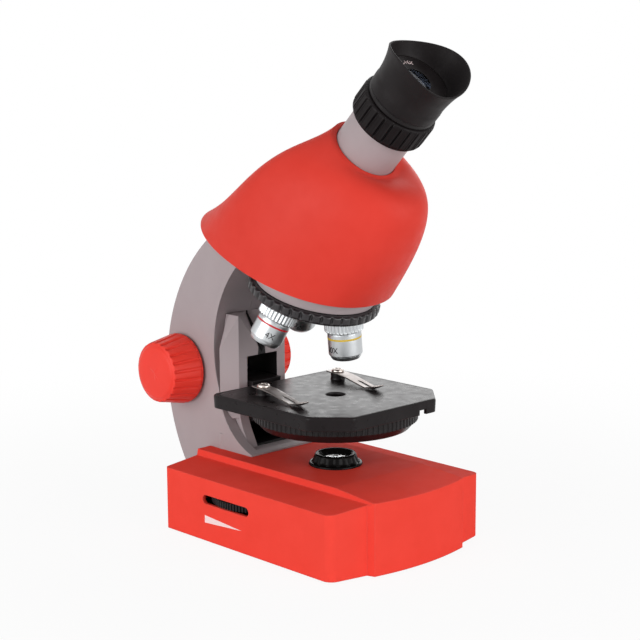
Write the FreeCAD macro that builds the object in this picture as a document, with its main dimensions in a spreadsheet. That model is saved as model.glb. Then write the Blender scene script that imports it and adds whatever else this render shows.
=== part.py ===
# Kids' microscope: LED base, C-shaped arm, focusing stage, three-lens turret and zoom eyepiece.
# Frame: millimetres, +Z up, origin on the floor under the middle of the base.
# The eyepiece leans towards -Y, the arm stands at +Y, and X = 0 is the plane of symmetry.
import FreeCAD, Part
import Sketcher
import math
import os
import re
from FreeCAD import Vector, Rotation, Placement

doc = FreeCAD.newDocument("KidsMicroscope")
sheet = doc.addObject("Spreadsheet::Sheet", "Sizes")

SIZES = {
    "base_width": 115,  # base, side to side
    "base_back": 66,  # back wall, from the origin
    "shoulder_front": 66,  # front of the low shoulders at the base's sides
    "shoulder_bow": 4.8,  # how far the shoulder front leans forward towards the block
    "block_width": 69,  # raised middle block at the front
    "block_step": 4.2,  # how far the block stands out of the shoulders
    "block_bow": 6.6,  # bow of the block's front face
    "block_bow_radius": 150,  # rounding of that bow
    "block_draft": 1.5,  # how far each side of the block leans in at its front
    "base_corner": 6,  # radius of the base's upright corners in front
    "base_back_corner": 2,  # radius of its corners at the back
    "foot_gap": 1,  # floor to the lower edge of the base
    "shoulder_height": 36,  # outer edge of the shoulders above the floor
    "shoulder_rise": 2.6,  # rise of the shoulders towards the middle
    "deck_height": 42.2,  # top of the middle deck above the floor
    "deck_draft": 0.7,  # lean of the step beside the deck
    "nose_start": 46,  # where the deck starts to slope down, in front of the origin
    "nose_drop": 3,  # drop of the deck at its front edge
    "base_wall": 2.2,  # wall of the base shell
    "plate_thick": 2,  # bottom plate
    "plate_gap": 0.2,  # play between bottom plate and shell
    "foot_radius": 6,  # rubber foot
    "foot_inset": 13,  # foot centre from the side and back walls
    "foot_seat": 1,  # recess of a foot in the plate
    "post_radius": 4,  # screw post under the deck
    "screw_radius": 1.4,  # shank of a case screw
    "screw_head": 2.7,  # radius of a case screw's head
    "head_thick": 1.6,  # height of a case screw's head
    "cell_radius": 7.1,  # AA cell
    "cell_length": 50,  # AA cell
    "cell_play": 0.4,  # play round a cell
    "cell_front": 67,  # front end of the cells' compartment, in front of the origin
    "door_play": 0.3,  # play round the door
    "contact_thick": 0.5,  # battery contact
    "tray_wall": 1.5,  # battery compartment wall
    "board_left": 38,  # circuit board, left of the middle
    "board_right": 22,  # circuit board, right of the middle
    "board_front": 28,  # circuit board, in front of the origin
    "board_back": 24,  # circuit board, behind the origin
    "board_thick": 1.6,  # circuit board
    "board_height": 31,  # underside of the board above the floor
    "optic_front": 11.7,  # optical axis, in front of the origin
    "lamp_flange": 14.8,  # radius of the lamp housing's flange
    "lamp_flange_thick": 1.4,  # lamp flange
    "lamp_foot": 12.6,  # radius of the lamp housing above its flange
    "lamp_top_radius": 10.4,  # radius of the lamp housing at its top
    "lamp_height": 6.2,  # lamp housing above the deck
    "lamp_bore": 7.4,  # bore of the lamp housing
    "lamp_neck": 9.4,  # radius of the lamp housing's neck in the deck
    "lens_thick": 3.2,  # lamp lens
    "led_radius": 2.5,  # light-emitting diode
    "wheel_radius": 30,  # dimmer wheel
    "wheel_thick": 3.6,  # dimmer wheel
    "wheel_height": 24.5,  # middle of the dimmer wheel above the floor
    "wheel_back": 14.7,  # dimmer wheel's axis, behind the origin
    "wheel_proud": 0.4,  # how far the wheel's edge stands out of the side wall
    "slot_length": 37.8,  # dimmer slot
    "slot_height": 5,  # dimmer slot
    "pot_size": 12,  # potentiometer, square
    "pot_shaft": 3,  # radius of the potentiometer's shaft
    "arm_half": 24.5,  # arm, from the middle to a side face
    "arm_wall": 2.4,  # wall of the arm's shells
    "arm_centre_back": 3.8,  # centre of the arm's round back, behind the origin
    "arm_centre_height": 82.6,  # centre of the arm's round back, above the floor
    "arm_radius": 100.2,  # radius of the arm's round back
    "arm_waist": 61.4,  # front of the arm at its narrowest, behind the origin
    "arm_waist_height": 101,  # height of that place
    "neck_front": 41.6,  # front of the arm's neck, behind the origin
    "neck_height": 147.9,  # height of that place
    "knee_back": 57.6,  # lower front of the arm, behind the origin
    "knee_height": 77,  # height of that place
    "toe_back": 30.3,  # toe of the arm on the deck, behind the origin
    "toe_height": 1,  # toe of the arm above the deck
    "toe_bend_back": 49.5,  # middle of the bend between toe and knee, behind the origin
    "toe_bend_height": 56.2,  # height of that place
    "arm_over_rim": 1.5,  # top of the arm above the hood's rim
    "neck_top_back": 30,  # front of the arm's top, behind the origin
    "arm_screw_back": 56,  # screws from the base into the arm, behind the origin
    "arm_screw_half": 21.4,  # those screws, from the middle
    "seam_gap": 0.05,  # half of the seam between the arm's shells
    "guide_half": 17.5,  # slide guide, from the middle to its side
    "guide_front": 48.1,  # front face of the slide guide, behind the origin
    "guide_top": 119,  # top of the slide guide
    "guide_bottom": 44.4,  # bottom of the slide guide
    "guide_flare_height": 60,  # where the guide's front starts to run forward to its foot
    "guide_toe": 40,  # front of the guide's foot, behind the origin
    "wing_deep": 9,  # depth of the guide's slanting cheeks, from its front
    "wing_top": 100,  # where a cheek meets the arm's side, above the floor
    "wing_seam": 0.4,  # seam between a cheek and the arm
    "guide_floor": 1.2,  # floor under the carriage slot
    "guide_deep": 25,  # slide guide, front to back
    "slot_half": 11.2,  # slot for the carriage, from the middle to a side
    "slot_top": 94.9,  # top of the carriage slot
    "valley_back": 14,  # depth of the valley above the slot at its top
    "slide_gap": 0.3,  # running gap of the carriage in its slot
    "carriage_height": 23,  # carriage block
    "carriage_top": 81,  # top of the carriage above the floor, stage at rest
    "carriage_front": 44,  # front of the carriage, behind the origin
    "rack_width": 8,  # focus rack
    "rack_back": 4.2,  # rack's back strip behind its tooth roots
    "rack_teeth": 12,  # focus rack, an even number
    "gear_module": 1,  # module of rack and pinion
    "pinion_teeth": 14,  # pinion
    "gear_play": 0.12,  # half of the play between teeth
    "pinion_width": 9,  # pinion
    "shaft_radius": 3,  # focus shaft
    "shaft_back": 89,  # focus shaft, behind the origin
    "shaft_height": 84.7,  # focus shaft above the floor
    "shaft_fit": 0.05,  # running fit of the shaft in its bushes
    "bush_radius": 5.5,  # shaft bush
    "washer_radius": 9,  # friction washer
    "washer_thick": 0.8,  # friction washer
    "knob_radius": 20.4,  # focus knob at its inner rim
    "knob_tip_radius": 17,  # focus knob at its outer face
    "knob_length": 20.5,  # focus knob
    "flute_radius": 1.7,  # groove in a knob
    "flute_count": 24,  # grooves round a knob
    "knob_cap_radius": 6,  # cap in a knob's face
    "stage_half": 47.8,  # stage, from the middle to a side
    "stage_back": 37.5,  # back edge of the stage, behind the origin
    "stage_front": 57.3,  # front edge of the stage
    "stage_cheek": 40.2,  # where the side edges turn in, in front of the origin
    "stage_nose": 31.3,  # half of the straight front edge
    "stage_top": 81.1,  # top of the stage above the floor
    "stage_skirt": 7.5,  # height of the stage's skirt
    "stage_plate_thick": 2.5,  # top plate of the stage
    "stage_wall": 2.2,  # skirt wall
    "stage_corner": 6,  # radius of the back corners
    "stage_front_corner": 2.5,  # radius of the corners in front
    "notch_side": 18.7,  # notch in the stage's front skirt, right of the middle
    "notch_width": 5.3,  # that notch
    "notch_height": 2.8,  # that notch, from the skirt's lower edge
    "stage_hole": 5.3,  # radius of the light hole
    "bracket_half": 10.9,  # stage bracket, from the middle to a side
    "bracket_front": 12,  # front end of the bracket, behind the origin
    "bracket_thick": 5,  # stage bracket
    "disc_radius": 45.5,  # filter disc at its ribbed rim
    "disc_foot": 41,  # filter disc's flat underside
    "disc_offset": 7.8,  # filter disc's pivot from the optical axis
    "disc_gap": 1.2,  # gap between the stage's skirt and the disc
    "disc_rim": 5.8,  # height of the ribbed rim
    "disc_cone": 4.3,  # height of the cone under the rim
    "disc_floor": 1.8,  # floor of the disc
    "disc_wall": 2,  # wall of the disc
    "rib_count": 90,  # ribs round the disc
    "rib_depth": 0.7,  # ribs on disc, rings and collars
    "collar_rib_count": 48,  # ribs round an objective's collar
    "turret_rib_count": 40,  # ribs round the turret
    "zoom_rib_count": 26,  # ribs round the zoom ring
    "hub_radius": 3.2,  # hub of the filter disc
    "aperture_radius": 3.4,  # light openings of the disc
    "aperture_count": 4,  # light openings of the disc
    "gel_radius": 4.4,  # colour filters
    "gel_thick": 0.8,  # colour filters
    "pivot_radius": 2,  # disc pivot
    "pivot_fit": 0.06,  # running fit on the disc pivot
    "clip_half": 28.3,  # clip pivot, from the middle
    "clip_back": 15.3,  # clip pivot, behind the origin
    "clip_angle": 9.5,  # how far both clips are swung at rest
    "clip_length": 40,  # clip, pivot to tip
    "clip_tail": 7,  # clip, pivot to its back end
    "clip_width": 8,  # clip at its pivot
    "clip_tip_width": 6.5,  # clip at its tip
    "clip_thick": 0.7,  # spring steel
    "clip_rise": 3.6,  # height of a clip above the stage at its pivot
    "clip_touch": 0.3,  # gap between a clip's bend and the stage
    "clip_post_radius": 4,  # clip post
    "clip_screw_head": 3.6,  # clip screw's head
    "turret_tilt": 18.5,  # turret axis from the vertical
    "turret_radius": 37,  # knurled ring of the turret
    "turret_thick": 5.3,  # knurled ring of the turret
    "turret_height": 133,  # lower rim plane of the turret on its axis
    "turret_flat": 10,  # flat in the middle of the turret's cone
    "turret_pitch": 20,  # objectives' circle on the turret
    "turret_turn": 22,  # how far the turret stands off its click position
    "thread_radius": 7.5,  # objective thread
    "thread_length": 5,  # objective thread
    "collar_radius": 10.75,  # knurled collar of an objective
    "barrel_radius": 9.35,  # objective barrel
    "objective_short": 21,  # 4x objective, seat to front
    "objective_middle": 22,  # 10x objective
    "objective_long": 25,  # 40x objective
    "objective_bore": 4,  # clear bore of an objective
    "lens_radius": 3.6,  # front lens
    "turret_screw_radius": 3,  # turret pivot
    "core_radius": 33.5,  # head core over the turret
    "core_thick": 12.7,  # head core over the turret
    "turret_gap": 0.3,  # gap between turret and head core
    "hood_width": 98,  # hood across its rim
    "hood_depth": 119.4,  # hood along its rim
    "hood_tilt": 22.4,  # tilt of the hood's rim
    "hood_back": 17.9,  # centre of the rim, behind the origin
    "hood_height": 155.5,  # centre of the rim above the floor
    "hood_square": 2.15,  # squareness of the rim, 2 for an ellipse
    "hood_front_swell": 75.6,  # reach of the dome over the rim's front
    "hood_back_swell": 62.2,  # reach of the dome over the rim's back
    "hood_front_out": 1.464,  # reach of the dome out past the rim's front, times half the depth
    "hood_back_out": -0.158,  # reach of the dome at the back, times half the depth
    "hood_side_out": 1.004,  # reach of the dome at the sides, times half the width
    "hood_pull": 1.094,  # how strongly the dome follows that reach
    "hood_wall": 2.4,  # wall of the hood
    "collar_lip": 20.2,  # radius of the hood where the tube leaves it
    "collar_reach": 33.8,  # that place along the tube, from the prism
    "collar_bore": 27,  # depth of the hood's bore for the tube
    "prism_height": 191.2,  # crossing of the light path and the tube axis, above the floor
    "tube_tilt": 44.7,  # eyepiece tube from the vertical
    "tube_radius": 17.4,  # eyepiece tube
    "tube_bore": 15,  # bore of the eyepiece tube
    "tube_start": 10,  # lower end of the tube, from the prism
    "tube_end": 53.8,  # upper end of the tube, from the prism
    "tube_play": 0.25,  # play of the tube in the hood
    "tongue_back": 44.5,  # front of the head core's tongue, behind the origin
    "tongue_thick": 5.5,  # head core's tongue in the arm
    "tongue_lift": 2,  # lower end of the tongue above the arm's neck
    "tongue_over": 8,  # upper end of the tongue above the hood's rim
    "core_front": 42,  # head core's slab, from the rim's centre to its front
    "core_back": 34,  # head core's slab, from the rim's centre to its back
    "core_half": 20,  # head core's slab, from the middle to a side
    "core_slab": 12,  # thickness of the head core's slab
    "core_play": 0.4,  # least gap between head core and hood
    "barrel_bore": 12.6,  # bore of the eyepiece barrel
    "barrel_deep": 20,  # how far the barrel reaches into the tube
    "zoom_radius": 21,  # knurled zoom ring
    "zoom_length": 15,  # zoom ring
    "zoom_fit": 0.06,  # running fit of the zoom ring
    "zoom_play": 0.3,  # end play of the zoom ring
    "flange_radius": 19.2,  # flange over the zoom ring
    "flange_thick": 2,  # flange over the zoom ring
    "eyecup_radius": 19.6,  # eyecup at its foot
    "eyecup_flare": 22.6,  # eyecup at its widest
    "eyecup_wall": 2.4,  # rubber wall
    "eyecup_low": 20.5,  # lowest place of the eyecup's rim above its foot
    "eyecup_high": 27.5,  # highest place of the eyecup's rim above its foot
    "eyecup_turn": 330,  # direction of the high side, from +X
    "cup_bore_long": 12.6,  # length of the eyecup's bore on the barrel
    "lens_plate_thick": 1.5,  # plate round the eye lens
    "eye_lens_radius": 7.5,  # eye lens
    "carrier_bore": 8,  # bore of the zoom lens carrier
    "carrier_long": 6,  # zoom lens carrier
    "carrier_start": 56,  # rest place of the carrier, from the prism
    "prism_reach": 11,  # prism, from its middle to a corner
    "prism_half": 8,  # half width of the prism
    "light_bore": 7.5,  # light path through the head
    "socket_wall": 1.8,  # wall of the tube's socket
    "socket_end": 19,  # end of the tube's socket, from the prism
    "tower_half": 14,  # tower under the prism
}

ALIAS = re.compile(r"[a-z]+(?:_[a-z]+)+")
for number, (alias, value) in enumerate(SIZES.items(), 1):
    sheet.set("A%d" % number, alias)
    sheet.set("B%d" % number, str(value))
    sheet.setAlias("B%d" % number, alias)
doc.recompute()

UP = Vector(0, 0, 1)
ALONG_X = Vector(1, 0, 0)
LEFT, RIGHT = -1, 1


def bound(text):
    """The expression with each size's name pointing at the sheet."""
    return ALIAS.sub(lambda found: "Sizes." + found.group(0), str(text))


def num(text):
    """The value of an expression now."""
    return float(sheet.evalExpression(bound(text)))


# ---------------------------------------------------------------- building blocks

def body(label, place=None):
    made = doc.addObject("PartDesign::Body", label)
    made.Label = label
    if place is not None:
        made.Placement = place
    return made


def sketch(owner, role, offset="0"):
    made = owner.newObject("Sketcher::SketchObject", owner.Name + "_sketch")
    plane = [item for item in owner.Origin.OriginFeatures if item.Role == role + "_Plane"][0]
    made.AttachmentSupport = [(plane, "")]
    made.MapMode = "FlatFace"
    made.setExpression("AttachmentOffset.Base.z", bound(offset))
    return made


def rounded(corners):
    """Closed outline through (x, y, radius) corners, each rounded by an arc."""
    count = len(corners)
    stops = []
    for index, (x, y, radius) in enumerate(corners):
        here = Vector(x, y, 0)
        back = Vector(*corners[index - 1][:2], 0) - here
        ahead = Vector(*corners[(index + 1) % count][:2], 0) - here
        back.normalize()
        ahead.normalize()
        if radius <= 0:
            stops.append((here, None, here))
            continue
        half = back.getAngle(ahead) / 2
        reach = radius / math.tan(half)
        middle = back + ahead
        middle.normalize()
        crown = here + middle * (radius / math.sin(half) - radius)
        stops.append((here + back * reach, crown, here + ahead * reach))
    edges = []
    for index, (first, crown, last) in enumerate(stops):
        if crown is not None:
            edges.append(Part.Arc(first, crown, last))
        following = stops[(index + 1) % count][0]
        if last.distanceToPoint(following) > 1e-6:
            edges.append(Part.LineSegment(last, following))
    return edges


def box_outline(x_low, x_high, y_low, y_high, radius=0):
    return rounded([(x_low, y_low, radius), (x_high, y_low, radius),
                    (x_high, y_high, radius), (x_low, y_high, radius)])


def circle(x, y, radius):
    return [Part.Circle(Vector(x, y, 0), UP, radius)]


def slab(owner, kind, role, edges, low, high):
    """Pad or Pocket of an outline between two heights on the plane's own world axis."""
    upward = role != "XZ"
    start = "(%s)" % low if upward else "-(%s)" % high
    outline = sketch(owner, role, start)
    outline.addGeometry(edges, False)
    feature = owner.newObject("PartDesign::" + kind, "%s_%s" % (owner.Name, kind.lower()))
    feature.Profile = outline
    feature.setExpression("Length", bound("(%s) - (%s)" % (high, low)))
    if kind == "Pocket":
        feature.Reversed = True
    return feature


def polar(owner, feature, count, axis="Z_Axis"):
    pattern = owner.newObject("PartDesign::PolarPattern", owner.Name + "_pattern")
    pattern.Originals = [feature]
    line = [item for item in owner.Origin.OriginFeatures if item.Role == axis][0]
    pattern.Axis = (line, [""])
    pattern.Angle = 360
    pattern.setExpression("Occurrences", bound(count))
    owner.Tip = pattern
    return pattern


def turned(label, profile, place):
    """A lathe part: (radius, height) expressions in a bound sketch, revolved about the body's Z."""
    made = body(label, place)
    outline = sketch(made, "XZ")
    points = [Vector(num(radius), num(height), 0) for radius, height in profile]
    count = len(points)
    outline.addGeometry([Part.LineSegment(points[i], points[(i + 1) % count])
                         for i in range(count)], False)
    for index in range(count):
        outline.addConstraint(Sketcher.Constraint("Coincident", index, 2, (index + 1) % count, 1))
    for index, (radius, height) in enumerate(profile):
        for kind, text, value in (("DistanceX", radius, points[index].x),
                                  ("DistanceY", height, points[index].y)):
            if abs(value) < 1e-9:
                across = -2 if kind == "DistanceX" else -1
                outline.addConstraint(Sketcher.Constraint("PointOnObject", index, 1, across))
                continue
            spot = outline.addConstraint(Sketcher.Constraint(kind, -1, 1, index, 1, value))
            outline.setExpression("Constraints[%d]" % spot, bound(text))
    spun = made.newObject("PartDesign::Revolution", label + "_turn")
    spun.Profile = outline
    spun.ReferenceAxis = (outline, ["V_Axis"])
    spun.Angle = 360
    return made


def cylinder(name, radius, height, base, axis=UP):
    made = doc.addObject("Part::Cylinder", name)
    made.setExpression("Radius", bound(radius))
    made.setExpression("Height", bound(height))
    made.Placement = Placement(base, Rotation(UP, axis))
    return made


def block(name, x_range, y_range, z_range):
    """Box between pairs of expressions on X, Y and Z."""
    made = doc.addObject("Part::Box", name)
    for side, (low, high) in zip(("Length", "Width", "Height"), (x_range, y_range, z_range)):
        made.setExpression(side, bound("(%s) - (%s)" % (high, low)))
    for side, (low, high) in zip("xyz", (x_range, y_range, z_range)):
        made.setExpression("Placement.Base." + side, bound(low))
    return made


def fuse(label, pieces):
    made = doc.addObject("Part::MultiFuse", label)
    made.Label = label
    made.Shapes = pieces
    return made


def cut(label, base, tools):
    made = doc.addObject("Part::Cut", label)
    made.Label = label
    made.Base = base
    made.Tool = tools[0] if len(tools) == 1 else fuse(label + "_tools", tools)
    return made


def group(label, pieces):
    made = doc.addObject("Part::Compound", label)
    made.Label = label
    made.Links = pieces
    return made


def set_shape(label, shape, place=None):
    made = doc.addObject("Part::Feature", label)
    made.Label = label
    made.Shape = shape
    if place is not None:
        made.Placement = place
    return made


def screw(name, seat, axis, length, head="screw_head", shank="screw_radius", thick="head_thick"):
    """A screw whose head rests on seat and whose shank runs along -axis."""
    top = cylinder(name + "_head", head, thick, seat, axis)
    stem = cylinder(name + "_shank", shank, length, seat - axis * num(length), axis)
    return fuse(name, [top, stem])


# ---------------------------------------------------------------- places that several parts share

optic = Vector(0, -num("optic_front"), 0)
tilt = math.radians(num("turret_tilt"))
seat_drop = (num("turret_radius") - num("turret_pitch")) * math.tan(tilt)
turret_back = (-num("optic_front") + num("turret_pitch") * math.cos(tilt)
               - seat_drop * math.sin(tilt))
turret_place = Placement(Vector(0, turret_back, num("turret_height")),
                         Rotation(ALONG_X, num("turret_tilt")))
lean = math.radians(num("tube_tilt"))
tube_axis = Vector(0, -math.sin(lean), math.cos(lean))
prism_point = optic + UP * num("prism_height")
tube_place = Placement(prism_point, Rotation(ALONG_X, num("tube_tilt")))
shaft_point = Vector(0, num("shaft_back"), num("shaft_height"))


# ---------------------------------------------------------------- base

def footprint(inset):
    """The base seen from above, drawn in by a wall."""
    half = num("base_width") / 2 - inset
    back = num("base_back") - inset
    front = num("shoulder_front") - inset
    inner = num("block_width") / 2
    step = num("shoulder_front") + num("shoulder_bow") - inset
    face = step + num("block_step")
    corner = max(num("base_corner") - inset, 1)
    back_corner = max(num("base_back_corner") - inset, 0.5)
    side = [(half, back, back_corner), (half, -front, corner), (inner + 0.9 - inset, -step, 0),
            (inner - num("block_draft") + 0.9 - inset, -face, 0)]
    bow = [(0, -face - num("block_bow"), num("block_bow_radius"))]
    return rounded(side + bow + [(-x, y, radius) for x, y, radius in reversed(side)])


def base_shell():
    made = body("base_shell")
    slab(made, "Pad", "XY", footprint(0), "foot_gap", "deck_height")
    half, edge = num("base_width") / 2 + 1, num("block_width") / 2
    low = num("shoulder_height")
    high = low + num("shoulder_rise")
    above = num("deck_height") + 1
    for side in (LEFT, RIGHT):
        shoulder = [(side * half, above), (side * (edge - num("deck_draft")), above),
                    (side * (edge - num("deck_draft")), num("deck_height")),
                    (side * edge, high), (side * half, low)]
        slab(made, "Pocket", "XZ", rounded([(x, y, 0) for x, y in shoulder]),
             "-2 * base_back", "2 * base_back")
    reach = num("shoulder_front + shoulder_bow + block_step + block_bow") + 1
    deck = num("deck_height")
    nose = [(-num("nose_start"), deck), (-num("nose_start"), above),
            (-reach, above), (-reach, deck - num("nose_drop"))]
    slab(made, "Pocket", "YZ", rounded([(x, y, 0) for x, y in nose]), "-base_width", "base_width")
    wall = num("base_wall")
    slab(made, "Pocket", "XY", footprint(wall), "foot_gap", "shoulder_height - base_wall")
    inner = edge - num("deck_draft") - wall
    slab(made, "Pocket", "XY", box_outline(-inner, inner, -num("nose_start"), num("base_back") - wall),
         "foot_gap", "deck_height - base_wall")
    for x, y in post_spots():
        slab(made, "Pad", "XY", circle(x, y, num("post_radius")),
             "foot_gap + plate_thick", "shoulder_height - base_wall")
        slab(made, "Pocket", "XY", circle(x, y, num("screw_radius")), "foot_gap + plate_thick",
             "foot_gap + plate_thick + 12")
    slab(made, "Pocket", "XY", circle(0, optic.y, num("lamp_neck")),
         "foot_gap + plate_thick", "deck_height + 1")
    for side in (LEFT, RIGHT):
        spot = (side * num("arm_screw_half"), num("arm_screw_back"))
        slab(made, "Pocket", "XY", circle(*spot, num("screw_radius")), "foot_gap + plate_thick",
             "deck_height + 1")
    middle, half_slot, radius = num("wheel_back"), num("slot_length") / 2, num("slot_height") / 2
    height = num("wheel_height")
    slot = box_outline(middle - half_slot, middle + half_slot, height - radius, height + radius,
                       radius - 0.01)
    slab(made, "Pocket", "YZ", slot, "-base_width", "-base_width / 2 + 2 * base_wall")
    return made


def post_spots():
    x = num("base_width") / 2 - num("base_wall") - num("post_radius")
    back = num("base_back") - num("base_wall") - num("post_radius")
    front = -num("shoulder_front") + num("base_wall") + num("post_radius")
    return [(side * x, y) for side in (LEFT, RIGHT) for y in (front, back)]


def foot_spots():
    x = num("base_width") / 2 - num("foot_inset") - num("post_radius")
    y = num("base_back") - num("foot_inset")
    return [(side * x, way * y) for side in (LEFT, RIGHT) for way in (LEFT, RIGHT)]


def tray_ends():
    pitch = num("2 * cell_radius + cell_play")
    low = -num("cell_front") - num("cell_play")
    return low, low + 3 * pitch + num("cell_play")


def inset(edges, wall):
    """The same closed outline, drawn in by a wall."""
    wire = Part.Wire(Part.__sortEdges__([edge.toShape() for edge in edges]))
    drawn = wire.makeOffset2D(-wall)
    made = []
    for edge in drawn.Edges:
        if isinstance(edge.Curve, Part.Circle):
            made.append(Part.ArcOfCircle(edge.Curve, edge.FirstParameter, edge.LastParameter))
        else:
            ends = [vertex.Point for vertex in edge.Vertexes]
            made.append(Part.LineSegment(ends[0], ends[1]))
    return made


def ribbed(radius, count, depth):
    """Outline of a round rim with trapezoid ribs."""
    points = []
    for index in range(int(count)):
        for share, reach in ((0, radius), (0.4, radius), (0.55, radius - depth), (0.85, radius - depth)):
            turn = 2 * math.pi * (index + share) / count
            points.append((reach * math.cos(turn), reach * math.sin(turn), 0))
    return rounded(points)


def base_plate():
    made = body("base_plate")
    top = "foot_gap + plate_thick"
    slab(made, "Pad", "XY", footprint(num("base_wall + plate_gap")), "foot_gap", top)
    front, back = tray_ends()
    half = num("cell_length / 2 + cell_play + contact_thick")
    slab(made, "Pocket", "XY", box_outline(-half, half, front, back, 2), "foot_gap", top)
    for x, y in foot_spots():
        slab(made, "Pocket", "XY", circle(x, y, num("foot_radius")), "foot_gap", "foot_gap + foot_seat")
    for x, y in post_spots():
        slab(made, "Pocket", "XY", circle(x, y, num("screw_radius")), "foot_gap", top)
        slab(made, "Pocket", "XY", circle(x, y, num("screw_head")), "foot_gap", "foot_gap + 0.6")
    return made


def battery_parts():
    front, back = tray_ends()
    top = "foot_gap + plate_thick"
    half = num("cell_length / 2 + cell_play + contact_thick")
    wall = num("tray_wall")
    roof = "foot_gap + plate_thick + 2 * cell_radius + 2 * cell_play"
    tray = body("battery_tray")
    slab(tray, "Pad", "XY", box_outline(-half - wall, half + wall, front - wall, back + wall, 2),
         top, roof + " + tray_wall")
    slab(tray, "Pocket", "XY", box_outline(-half, half, front, back), top, roof)
    door = body("battery_door")
    play = num("door_play")
    slab(door, "Pad", "XY", box_outline(-half + play, half - play, front + play, back - play, 1.7),
         "foot_gap", top)
    slab(door, "Pocket", "XY", box_outline(-9, 9, back - 7, back - 4, 1), "foot_gap", "foot_gap + 0.8")
    radius = num("cell_radius")
    height = num(top) + num("cell_play") + radius
    cells = []
    for index in range(3):
        y = front + num("cell_play") + radius + index * num("2 * cell_radius + cell_play")
        way = LEFT if index % 2 else RIGHT
        start = Vector(-way * num("cell_length") / 2, y, height)
        can = cylinder("cell_can_%d" % index, "cell_radius", "cell_length - 1.2", start, ALONG_X * way)
        nub = cylinder("cell_nub_%d" % index, "2.6", "1.2",
                       start + ALONG_X * way * num("cell_length - 1.2"), ALONG_X * way)
        cells.append(fuse("cell_%d" % index, [can, nub]))
    strips = [block("contact_%d" % side,
                    ("%f" % (side * half if side < 0 else half - num("contact_thick")),
                     "%f" % (side * half + num("contact_thick") if side < 0 else half)),
                    ("%f" % (front + 2), "%f" % (back - 2)),
                    (top + " + 2.5", roof + " - 2.5")) for side in (LEFT, RIGHT)]
    return [tray, door, group("battery_cells", cells), group("battery_contacts", strips)]


def feet_and_screws():
    feet = [cylinder("foot_%d" % index, "foot_radius", "foot_gap + foot_seat", Vector(x, y, 0))
            for index, (x, y) in enumerate(foot_spots())]
    screws = [screw("case_screw_%d" % index, Vector(x, y, num("foot_gap") + 0.6), -UP, "12")
              for index, (x, y) in enumerate(post_spots())]
    heads = [item.Shapes[0] for item in screws]
    for head in heads:
        head.setExpression("Height", "0.5")
    arm_screws = [screw("arm_screw_%d" % side,
                        Vector(side * num("arm_screw_half"), num("arm_screw_back"),
                               num("deck_height - base_wall")), -UP, "base_wall + 8")
                  for side in (LEFT, RIGHT)]
    return [group("rubber_feet", feet), group("case_screws", screws), group("arm_screws", arm_screws)]


def light_parts():
    """Circuit board, dimmer and lamp."""
    axis_x = -num("base_width / 2 + wheel_proud") + num("wheel_radius")
    axis = Vector(axis_x, num("wheel_back"), 0)
    top = "board_height + board_thick"
    board = body("circuit_board")
    slab(board, "Pad", "XY", box_outline(-num("board_left"), num("board_right"), -num("board_front"),
                                         num("board_back"), 2), "board_height", top)
    low, high = "wheel_height - wheel_thick / 2", "wheel_height + wheel_thick / 2"
    case = block("pot_case", ("%f - pot_size / 2" % axis.x, "%f + pot_size / 2" % axis.x),
                 ("wheel_back - pot_size / 2", "wheel_back + pot_size / 2"),
                 (high + " + slide_gap", "board_height"))
    stem = cylinder("pot_stem", "pot_shaft", "board_height - (%s)" % low, axis + UP * num(low))
    wheel = body("dimmer_wheel", Placement(axis, Rotation()))
    rim = ribbed(num("wheel_radius"), 96, 0.8)
    slab(wheel, "Pad", "XY", rim, low, high)
    slab(wheel, "Pocket", "XY", circle(0, 0, num("pot_shaft + shaft_fit")), low, high)
    led_base = cylinder("led_base", "led_radius", "5", optic + UP * num(top))
    led_dome = doc.addObject("Part::Sphere", "led_dome")
    led_dome.setExpression("Radius", bound("led_radius"))
    led_dome.Placement.Base = optic + UP * (num(top) + 5)
    housing = turned("lamp_housing", [
        ("lamp_bore", "deck_height - 6"), ("lamp_neck - 0.1", "deck_height - 6"),
        ("lamp_neck - 0.1", "deck_height"), ("lamp_flange", "deck_height"),
        ("lamp_flange", "deck_height + lamp_flange_thick"),
        ("lamp_foot", "deck_height + lamp_flange_thick"),
        ("lamp_top_radius", "deck_height + lamp_height"), ("lamp_bore", "deck_height + lamp_height")],
        Placement(optic, Rotation()))
    lens = turned("lamp_lens", [
        ("0", "deck_height + lamp_height - lens_thick - 1.5"),
        ("lamp_bore", "deck_height + lamp_height - lens_thick - 1.5"),
        ("lamp_bore", "deck_height + lamp_height - lens_thick"),
        ("lamp_bore * 0.7", "deck_height + lamp_height - 2"), ("0", "deck_height + lamp_height - 1.5")],
        Placement(optic, Rotation()))
    return [board, fuse("dimmer_potentiometer", [case, stem]), wheel,
            fuse("lamp_led", [led_base, led_dome]), housing, lens]


# ---------------------------------------------------------------- arm

def rim_height(y):
    """Height of the hood's rim plane at a place along Y."""
    return num("hood_height") + (y - num("hood_back")) * math.tan(math.radians(num("hood_tilt")))


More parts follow.
